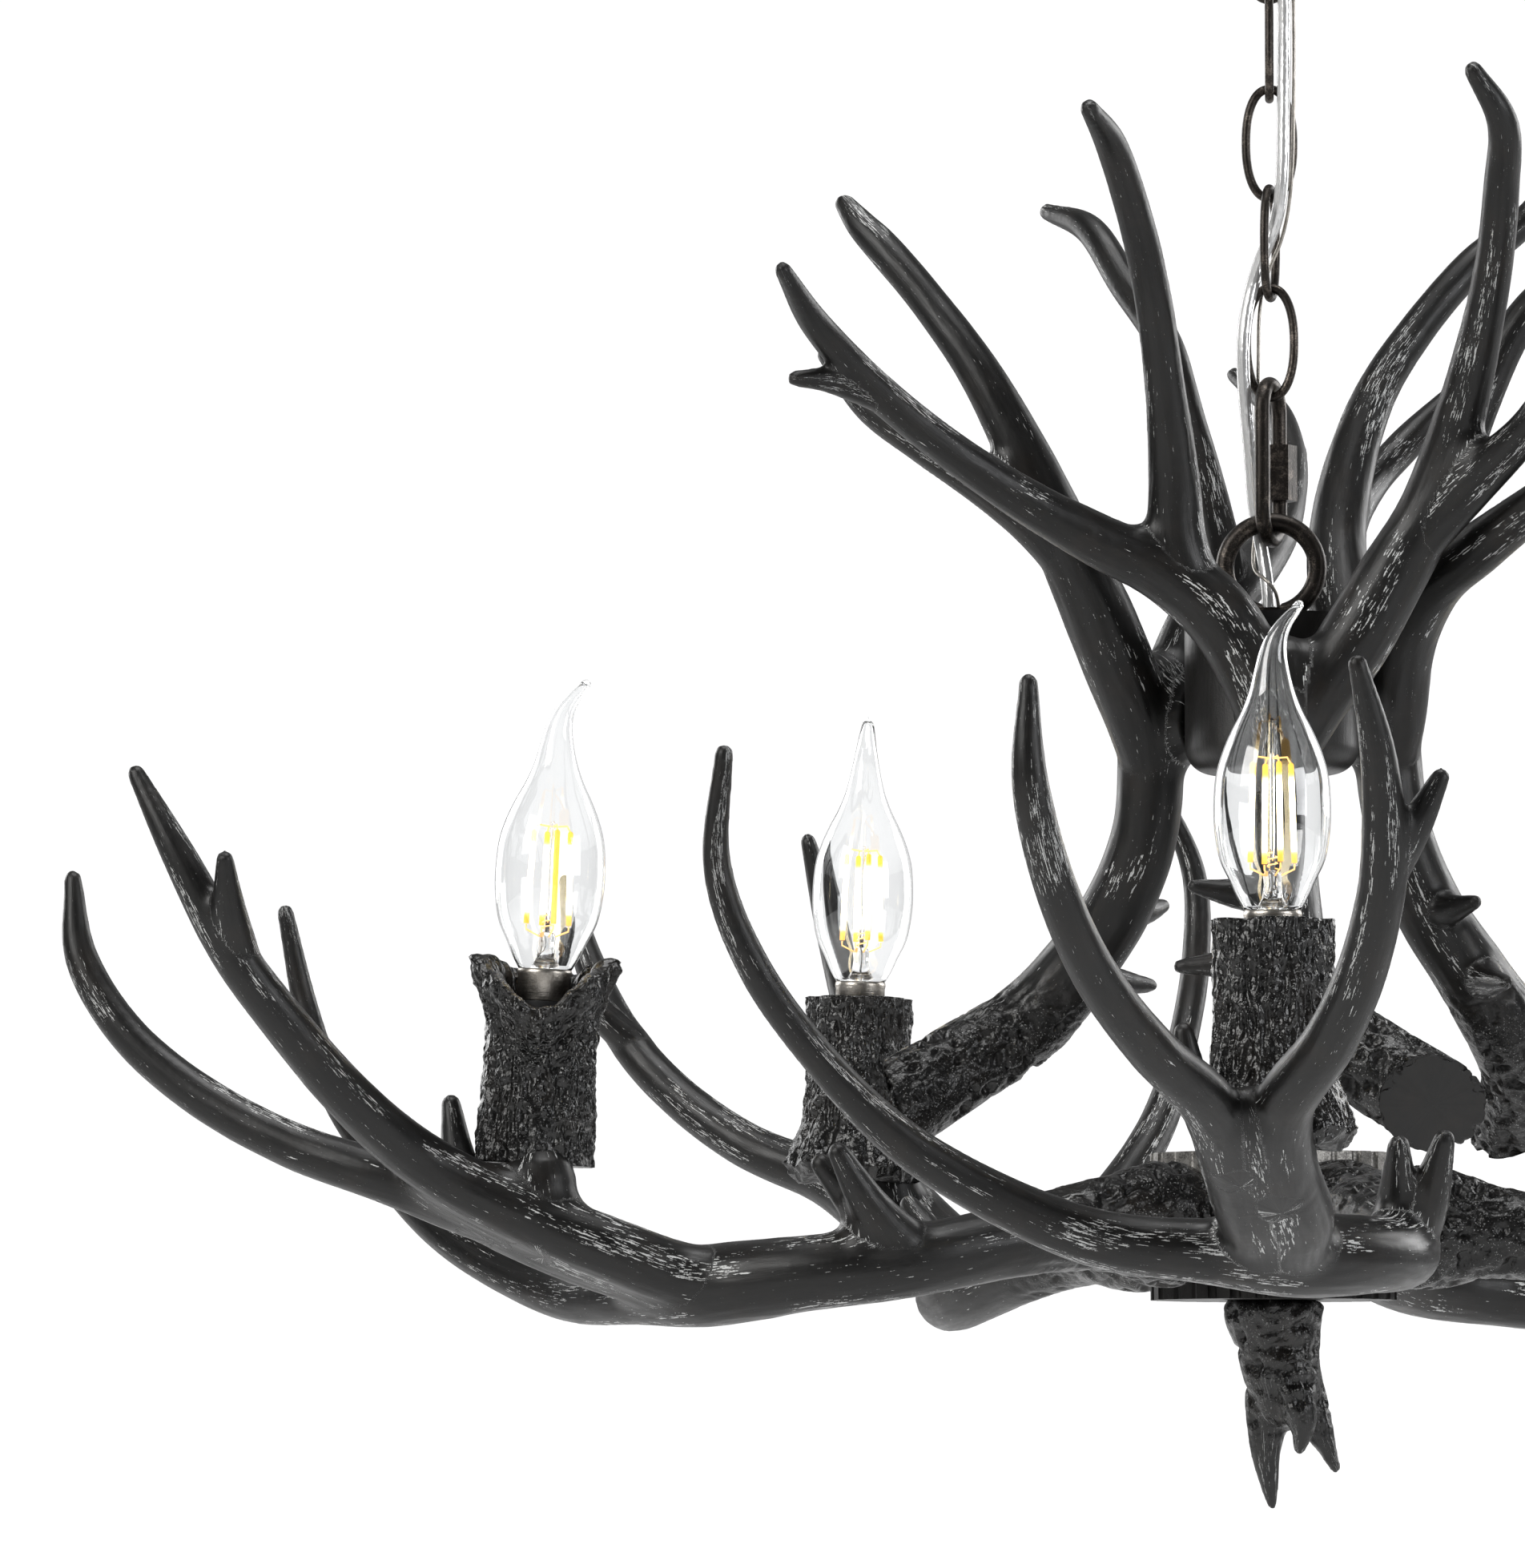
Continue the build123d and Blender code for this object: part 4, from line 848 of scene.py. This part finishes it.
def candleFrame(index):
    angle = math.radians(placeValues["lowerAzimuths"][index])
    lean = math.radians(cupValues["leans"][index])
    reach, height = placeValues["candleRadius"], placeValues["lowerCentre"] + cupValues["heights"][index][0]
    origin = np.array([reach * math.cos(angle), reach * math.sin(angle), height])
    cosine, sine = math.cos(lean), math.sin(lean)
    return origin, np.array([[cosine, 0, -sine], [0, 1, 0], [sine, 0, cosine]])


# 1 at the middle of a dip in the rim, falling off round the cup
def hollow(turn, middle, width):
    away = np.angle(np.exp(1j * (turn - middle)))
    return np.exp(-((away / width) ** 2))


def cupPiece(index):
    values = cupValues
    bottom, top, _ = values["heights"][index]
    crownUp = values["crownUp"][index]
    profile = np.array(values["crownUpper" if crownUp else "crownDown"])
    around, rows = values["around"], values["rows"]
    angle = np.linspace(0, 2 * math.pi, around, endpoint=False)
    grid, turn = np.repeat(np.linspace(0, 1, rows), around), np.tile(angle, rows)
    seed = values["seed"] + 7 * index
    circle = np.stack([np.cos(turn), np.sin(turn), np.zeros(len(turn))], 1)
    lift = np.outer(grid, upward)
    folds = ridges(circle * 2.8 + lift * 2.4, seed, 2.4)
    strands = ridges(circle * 5.6 + lift * 5.5, seed + 1, 2.6)
    lumps = ridges(circle * 3.8 + lift * 10, seed + 2, 2.6)
    grains = gradientNoise(circle * 9 + lift * 26, seed + 4)
    relief = 0.45 * folds + 0.6 * strands + 0.4 * lumps + 0.45 * grains
    flare = smoothStep(grid, 0.66, 0.96) if crownUp else 1 - smoothStep(grid, 0.04, 0.32)
    lobes = 0.5 + 0.5 * np.cos(values["lobes"] * turn + 1.4 * np.sin(2 * turn) + index)
    radius = np.interp(grid, profile[:, 0], profile[:, 1])
    radius = radius + (relief - 0.45) * (1.7 + 0.5 * flare) + flare * (lobes - 0.5) * 2.2
    rise = grid * (top - bottom)
    torn = gradientNoise(circle * 5, seed + 5)
    if crownUp:
        front, back = hollow(turn, -math.pi / 2, 0.85), hollow(turn, math.pi / 2, 0.7)
        dip = values["frontDip"] * front + values["backDip"] * back
        dip = dip + 2.2 * (1 - lobes) - 1.6 * torn
        rise = rise - (dip + 1.5) * smoothStep(grid, 0.35, 1.0)
    else:
        rise = rise + (1 - grid) ** 6 * ((lobes - 0.5) * 3.0 + 1.5 * torn)
        rise = rise + grid**8 * gradientNoise(circle * 1.6, seed + 3) * 0.9
    outer = np.stack([radius * np.cos(turn), radius * np.sin(turn), rise], 1)
    inner = []
    for inset, drop in values["tornLip" if crownUp else "plainLip"]:
        reach = radius[-around:] - inset + (0.5 * relief[-around:] if inset < 6 else 0)
        reach = np.maximum(reach, values["bore"])
        inner.append(np.stack([reach * np.cos(angle), reach * np.sin(angle), rise[-around:] + drop], 1))
    foot = outer[:around] * np.array([0.02, 0.02, 0.0])
    floor = inner[-1] * np.array([0.02, 0.02, 1.0])
    points = np.vstack([foot, outer, *inner, floor])
    allTurns = np.tile(angle, len(points) // around)
    origin, axes = candleFrame(index)
    plain = np.zeros(around)
    innerRows = len(inner) + 1
    attributes = {
        "ridge": np.concatenate([plain, np.clip(relief * 0.5 + 0.5, 0, 1), np.full(around * innerRows, 0.4)]),
        "rough": np.full(len(points), 1.0),
        "crotch": 0.25 * np.concatenate([plain, flare, np.zeros(around * innerRows)]),
        "flow": np.stack([np.cos(allTurns) * 17, np.sin(allTurns) * 17, points[:, 2]], 1) / 1000,
    }
    quads = ringQuads(len(points) // around, around)
    piece = addPiece(f"candleCup{index + 1}", points @ axes + origin, quads, bark, "chandelier", attributes)
    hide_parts(f"candle_cup_{index + 1}")


for index in range(5):
    cupPiece(index)
print("cups made")

# bulbs

bulbValues = {
    # height, radius and sideways bend of the glass
    "profile": ((0, 8.3, 0), (4, 10.6, 0), (9, 12.8, 0), (15, 15.6, 0), (22, 17, 0), (30, 17.5, 0),
                (40, 16.9, 0), (47, 15.1, 0), (53.5, 12.4, 0), (60, 9.1, 0), (66, 6.8, 0), (72, 5.3, 0),
                (77, 4.3, 0.3), (81.5, 3.5, 1.3), (85.5, 2.9, 3.3), (88.7, 2.4, 5.8), (91, 1.8, 7.8)),
    "tipTurns": (0.0, 0.0, 90.0, 200.0, 300.0),
    "wall": 0.5,
    "around": 48,
    # height and radius down the cap's collar, and its thread and contact below
    "collar": ((0.2, 8.0), (0.0, 8.6), (-1.2, 8.75), (-2.2, 8.5), (-9.6, 8.6), (-10.0, 8.3)),
    "threadTop": -10.0,
    "threadLength": 18.0,
    "threadTurns": 6,
    "threadDepth": 0.35,
    "capRadius": 6.9,
    "contact": ((-28.2, 3.4), (-31.0, 3.2), (-31.0, 0.05)),
    "stem": ((0.3, 6.2), (1.5, 4.6), (4, 3.2), (8, 2.6), (10.5, 2.9), (11.8, 2.4), (12.4, 0.05)),
    "rod": ((0, 0, 12), (0.1, 0, 24), (0, 0.1, 36), (0, 0, 46.5)),
    "rodRadius": 0.75,
}
filamentValues = {
    "count": 4,
    "start": 20.0,
    "radius": 0.9,
    "low": 14.5,
    "high": 43.5,
    "spread": 6.0,
    "leanIn": -1.0,
    "golden": ((1, 3),),  # bulb and filament seen edge on, gold all along
    "rings": 9,
    "sides": 10,
    "wire": 0.28,
    "coilWire": 0.22,
    "wireSides": 6,
}


def lathe(rows, around):
    angles = np.linspace(0, 2 * math.pi, around, endpoint=False)
    points = []
    for rise, radius, *bends in rows:
        bend = bends[0] if bends else 0
        ring = [radius * np.cos(angles) + bend, radius * np.sin(angles), np.full(around, rise)]
        points.append(np.stack(ring, 1))
    return np.vstack(points), ringQuads(len(rows), around)


def wireAlong(points, radius, around):
    return tubeOf(np.array([(*point, radius) for point in points], float), around)


def addFacets(name, points, faces, material, body, shares=None):
    mesh = meshFrom(name, points / 1000, faces)
    mesh.polygons.foreach_set("use_smooth", np.full(len(mesh.polygons), True))
    if shares is not None:
        attribute = mesh.attributes.new("share", "FLOAT", "POINT")
        attribute.data.foreach_set("value", np.asarray(shares, np.float32))
    return linked(name, mesh, material, body)


def glassShape():
    values = bulbValues
    line = smoothLine([(rise, bend, 0, radius) for rise, radius, bend in values["profile"]], 1.5)
    rows = [(station[0], station[3], station[1]) for station in line]
    inner = [(rise + 0.15, max(radius - values["wall"], 0.3), bend) for rise, radius, bend in rows]
    tipRise, tipRadius, tipBend = rows[-1]
    inner.append((tipRise + 0.5, 0.05, tipBend + 0.2))
    for angle in (0.5, 1.0, 1.4, 1.55):
        closing = tipRadius * math.cos(angle), tipBend + 0.5 * math.sin(angle)
        rows.append((tipRise + tipRadius * math.sin(angle) * 1.1, *closing))
    points, quads = lathe([(0.0, 7.9, 0)] + rows, values["around"])
    insidePoints, insideQuads = lathe(inner, values["around"])
    foot = np.arange(values["around"])
    nextFoot = (foot + 1) % values["around"]
    seam = np.stack([foot, foot + len(points), nextFoot + len(points), nextFoot], 1)
    return np.vstack([points, insidePoints]), np.vstack([quads, insideQuads[:, ::-1] + len(points), seam])


def capShape():
    values = bulbValues
    steps, depth = 12 * values["threadTurns"], values["threadDepth"]
    thread = []
    for step in range(steps + 1):
        rise = values["threadTop"] - step * values["threadLength"] / steps
        thread.append((rise, values["capRadius"] - depth + depth * math.cos(step * math.pi / 6)))
    collar = lathe(((0.2, 0.05),) + values["collar"], values["around"])
    return joined([collar, lathe(thread + list(values["contact"]), 32)])


def filamentShapes(index):
    values = filamentValues
    rods, wires, shares = [], [], []
    steps = np.linspace(0, 1, values["rings"])
    for number in range(values["count"]):
        angle = math.radians(values["start"] + number * 360 / values["count"])
        out = np.array([math.cos(angle), math.sin(angle), 0])
        low = out * (values["spread"] - values["leanIn"]) + values["low"] * upward
        high = out * values["spread"] + values["high"] * upward
        rods.append(wireAlong([low + (high - low) * t for t in steps], values["radius"], values["sides"]))
        share = np.concatenate([np.repeat(steps, values["sides"]), np.ones(values["sides"] * len(roundTip))])
        shares.append(np.ones(len(share)) if (index, number) in values["golden"] else share)
        upper = [high + 0.4 * upward, out * values["spread"] * 0.8 + 46.0 * upward, out + 45.6 * upward]
        lower = [low - 0.3 * upward, low - 1.8 * upward, out * 2.4 + 10.6 * upward]
        wires += [wireAlong(wire, values["wire"], values["wireSides"]) for wire in (upper, lower)]
    turns = np.linspace(0, 5.5 * math.pi, 60)
    coil = [(1.5 * math.cos(t), 1.5 * math.sin(t), 12.6 + t * 0.28) for t in turns]
    wires.append(wireAlong(coil, values["coilWire"], values["wireSides"]))
    return joined(rods), np.concatenate(shares), joined(wires)


def bulbPieces(index):
    values = bulbValues
    number, body = index + 1, f"bulb_{index + 1}"
    origin, axes = candleFrame(index)
    bottom, _, glassFoot = cupValues["heights"][index]
    seat = origin + (glassFoot - bottom) * axes[2]
    spin = turned(-math.radians(values["tipTurns"][index]))

    def put(points):
        return (points @ spin) @ axes + seat

    points, quads = glassShape()
    piece = addPiece(f"bulbGlass{number}", put(points), quads, glass, body)
    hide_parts(f"bulb_glass_{number}")
    points, faces = capShape()
    piece = addFacets(f"bulbCap{number}", put(points), faces, metals["cap"], body)
    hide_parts(f"bulb_cap_{number}")
    points, faces = joined([lathe(values["stem"], 24), wireAlong(values["rod"], values["rodRadius"], 8)])
    piece = addFacets(f"glassStem{number}", put(points), faces, glass, body)
    (points, faces), shares, (wirePoints, wireFaces) = filamentShapes(index)
    piece = addFacets(f"filaments{number}", put(points), faces, glow, body, shares)
    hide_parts(f"bulb_filaments_{number}")
    middles = np.full(len(wirePoints), 0.5)
    piece = addFacets(f"leadWires{number}", put(wirePoints), wireFaces, wireGlow, body, middles)


for index in range(5):
    bulbPieces(index)
print("bulbs made")

# finial

finialTop = placeValues["lowerCentre"] - 23.7
finialBeams = {
    "body": [(0, 0, 0, 15), (0, 0, -5, 14.6), (1, 0, -12, 12.6), (2, 0, -22, 11.3), (3, 0, -32, 9.5)],
    "longProng": [(1, 2, -20, 8.5), (-2, 2, -34, 6.4), (-3, 2, -48, 4.8), (-2, 2, -58, 3.4),
                  (-1, 2, -65.8, 1.8)],
    "frontProng": [(4, -4, -20, 7), (7, -8, -32, 5.2), (9, -9, -41, 3.6), (8, -9, -48, 1.9)],
    "rightProng": [(5, 2, -20, 8), (10, 3, -32, 5.6), (15, 3, -44, 3.8), (19.5, 3, -54, 1.9)],
}


def finialBark(name, points):
    height = points[:, 2]
    return smoothStep(height, -62, -30) * smoothStep(-height, -0.5, 2.5) * 0.85


finialMould = buildMould(finialBeams, finialBark, seeds["finial"])
piece = castPiece("finialProngs", finialMould["points"] + finialTop * upward, finialMould, bark)
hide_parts("finial")
print("finial made")

# chain

chainValues = {
    "count": 6,
    "length": 38.75,
    "width": 18.4,
    "wire": 2.9,
    "firstTop": -54.3,
    "step": -32.7,
    "turns": (90.0, 0.0, 90.0, 6.0, 76.0, -6.0),
    "squareness": 2.25,
    "weld": 0.10,
}


def linkTree():
    tree = bpy.data.node_groups.new("ovalLink", "GeometryNodeTree")
    tree.interface.new_socket(name="Geometry", in_out="OUTPUT", socket_type="NodeSocketGeometry")
    for size in ("Length", "Width", "Wire", "Squareness", "Weld", "Turn", "Centre"):
        tree.interface.new_socket(name=size, in_out="INPUT", socket_type="NodeSocketFloat")
    given = tree.nodes.new("NodeGroupInput").outputs
    circle = addNode(tree, "GeometryNodeCurvePrimitiveCircle", Resolution=96, Radius=1.0)
    position = tree.nodes.new("GeometryNodeInputPosition").outputs[0]
    spot = addNode(tree, "ShaderNodeSeparateXYZ", n0=position).outputs
    # the wire is a little thicker at its weld, half way up one side
    away = calc(tree, "MULTIPLY", spot[1], 10.0)
    near = calc(tree, "EXPONENT", calc(tree, "MULTIPLY", calc(tree, "MULTIPLY", away, away), -1.0))
    near = calc(tree, "MULTIPLY", near, calc(tree, "GREATER_THAN", spot[0], 0.0))
    swell = calc(tree, "ADD", calc(tree, "MULTIPLY", near, given["Weld"]), 1.0)
    welded = addNode(tree, "GeometryNodeSetCurveRadius", Curve=circle.outputs[0], Radius=swell)
    power = calc(tree, "DIVIDE", 2.0, given["Squareness"])
    reach = []
    for axis, size in ((0, "Width"), (1, "Length")):
        half = calc(tree, "MULTIPLY", calc(tree, "SUBTRACT", given[size], given["Wire"]), 0.5)
        bulge = calc(tree, "POWER", calc(tree, "ABSOLUTE", spot[axis]), power)
        bulge = calc(tree, "MULTIPLY", calc(tree, "SIGN", spot[axis]), bulge)
        reach.append(calc(tree, "MULTIPLY", bulge, half))
    oval = addNode(tree, "ShaderNodeCombineXYZ", X=reach[0], Z=reach[1]).outputs[0]
    line = addNode(tree, "GeometryNodeSetPosition", Geometry=welded.outputs[0], Position=oval)
    thick = calc(tree, "MULTIPLY", given["Wire"], 0.5)
    wire = addNode(tree, "GeometryNodeCurvePrimitiveCircle", Resolution=16, Radius=thick)
    link = addNode(tree, "GeometryNodeCurveToMesh", Curve=line.outputs[0])
    tree.links.new(wire.outputs[0], link.inputs["Profile Curve"])
    turn = addNode(tree, "ShaderNodeCombineXYZ", Z=given["Turn"]).outputs[0]
    lift = addNode(tree, "ShaderNodeCombineXYZ", Z=given["Centre"]).outputs[0]
    placed = addNode(tree, "GeometryNodeTransform", Geometry=link.outputs[0], Rotation=turn, Translation=lift)
    rounded = addNode(tree, "GeometryNodeSetShadeSmooth", Geometry=placed.outputs[0])
    real = addNode(tree, "GeometryNodeRealizeInstances", Geometry=rounded.outputs[0])
    finished = addNode(tree, "GeometryNodeSetMaterial", Geometry=real.outputs[0], Material=metals["chain"])
    tree.links.new(finished.outputs[0], tree.nodes.new("NodeGroupOutput").inputs[0])
    return tree


def grown(name, tree, sizes):
    blank = bpy.data.objects.new(name, bpy.data.meshes.new(name + "Blank"))
    bpy.context.scene.collection.objects.link(blank)
    modifier = blank.modifiers.new("nodes", "NODES")
    modifier.node_group = tree
    for socket in tree.interface.items_tree:
        if socket.in_out == "INPUT":
            modifier[socket.identifier] = sizes[socket.name]
    mesh = bpy.data.meshes.new_from_object(blank.evaluated_get(bpy.context.evaluated_depsgraph_get()))
    blank.modifiers.clear()
    blank.data = mesh
    return blank


def chainPieces():
    values = chainValues
    tree = linkTree()
    for index in range(values["count"]):
        centre = values["firstTop"] + values["step"] * index - (values["length"] - values["wire"]) / 2
        sizes = {
            "Length": values["length"] / 1000, "Width": values["width"] / 1000, "Wire": values["wire"] / 1000,
            "Squareness": values["squareness"], "Weld": values["weld"],
            "Turn": math.radians(values["turns"][index]), "Centre": centre / 1000,
        }
        piece = grown(f"ovalLink{index + 1}", tree, sizes)
        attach(piece, f"link_{index + 1}")
        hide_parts(f"chain_link_{index + 1}")


chainPieces()
print("chain made")

# solids that stay as they are get a finish


def dress(material, names):
    for name in names:
        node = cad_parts[name]
        node.data.materials.clear()
        node.data.materials.append(material)


hubNames = ("ceiling_canopy", "canopy_nut", "canopy_loop", "upper_hub", "upper_hub_lid", "lower_hub_cover")
antlerScrews = ("upper_antler_screws", "lower_antler_screws")
dress(metals["chain"], ("quick_link", "quick_link_nut", "top_loop"))
dress(metals["hub"], hubNames)
dress(metals["fluted"], ("lower_hub",))
dress(metals["steel"], ("ceiling_bracket", "bracket_nuts", "hub_nuts", *antlerScrews, "centre_tube"))
dress(phenolic, ("cord_grip", *(f"lampholder_{number}" for number in range(1, 6))))
dress(whitePlastic, ("connector_block",))

# floor, backdrop and lights

stageValues = {
    "floor": -0.95,
    "back": 3.2,
    "size": 12.0,
    "bend": 1.0,
    "steps": 12,
    "wallTop": 5.0,
    "white": (0.8, 0.8, 0.8),
    "backWhite": (0.06, 0.06, 0.06),
    "fade": (0.05, 0.4),  # heights above the floor between which the one turns into the other
    "glow": 0.985,
    "mirrored": 0.3,
}
skyValues = {"colour": (0.93, 0.96, 1.0), "strength": 0.07}
# place, side, power and colour of each lamp, all turned to the middle
lightValues = {
    "keyLeft": ((-1.8, -1.6, 0.7), 1.3, 50, (1.0, 0.99, 0.97)),
    "fillRight": ((2.1, -1.4, 0.1), 1.0, 26, (0.97, 0.98, 1.0)),
    "top": ((0.1, -0.2, 1.5), 1.2, 34, (1.0, 1.0, 1.0)),
    "backLeft": ((-1.7, 1.6, 0.2), 1.2, 22, (1.0, 1.0, 1.0)),
    "backRight": ((1.7, 1.6, 0.3), 1.2, 24, (1.0, 1.0, 1.0)),
}
middle = (0, 0, -0.45)


def stageMaterial(name, values):
    material, tree, shader = newTree(name)
    place = addNode(tree, "ShaderNodeTexCoord").outputs["Object"]
    tone = spread(tree, noiseOf(tree, place, 3, 2, 0.5), 0.3, 0.7, values["glow"], values["glow"] + 0.01)
    fadeFrom, fadeTo = values["fade"]
    raised = spread(tree, heightOf(tree, place), values["floor"] + fadeFrom, values["floor"] + fadeTo)
    tree.links.new(mixColor(tree, raised, values["white"], values["backWhite"]), shader.inputs["Base Color"])
    shader.inputs["Roughness"].default_value = 0.9
    shader.inputs["Emission Color"].default_value = (1, 1, 1, 1)
    path = addNode(tree, "ShaderNodeLightPath")
    straight = calc(tree, "MAXIMUM", path.outputs["Is Camera Ray"], path.outputs["Is Transmission Ray"])
    mirrored = calc(tree, "MULTIPLY", path.outputs["Is Glossy Ray"], values["mirrored"])
    shown = calc(tree, "MAXIMUM", straight, mirrored)
    tree.links.new(calc(tree, "MULTIPLY", tone, shown), shader.inputs["Emission Strength"])
    return material


def backdrop():
    values = stageValues
    half, back, floor, bend = values["size"] / 2, values["back"], values["floor"], values["bend"]
    line = [(-half, floor), (back - bend, floor)]
    for step in range(1, values["steps"] + 1):
        angle = step / values["steps"] * math.pi / 2
        line.append((back - bend + bend * math.sin(angle), floor + bend - bend * math.cos(angle)))
    line.append((back, floor + values["wallTop"]))
    points = [(x, y, z) for y, z in line for x in (-half, half)]
    faces = [(2 * i, 2 * i + 1, 2 * i + 3, 2 * i + 2) for i in range(len(line) - 1)]
    mesh = meshFrom("backdrop", points, faces)
    mesh.polygons.foreach_set("use_smooth", np.full(len(mesh.polygons), True))
    mesh.materials.append(stageMaterial("paleSheet", values))
    sheet = bpy.data.objects.new("backdrop", mesh)
    bpy.context.scene.collection.objects.link(sheet)


def sky(values):
    world = bpy.data.worlds.new("world")
    world.use_nodes = True
    background = world.node_tree.nodes["Background"]
    background.inputs[0].default_value = (*values["colour"], 1)
    background.inputs[1].default_value = values["strength"]
    bpy.context.scene.world = world


def lamp(name, place, side, power, colour):
    data = bpy.data.lights.new(name, "AREA")
    data.shape = "SQUARE"
    data.size = side
    data.energy = power
    data.color = colour
    light = bpy.data.objects.new(name, data)
    light.location = place
    light.rotation_euler = (Vector(middle) - Vector(place)).to_track_quat("-Z", "Y").to_euler()
    bpy.context.scene.collection.objects.link(light)


backdrop()
sky(skyValues)
for name, lampValues in lightValues.items():
    lamp(name, *lampValues)
print("stage and lights made")
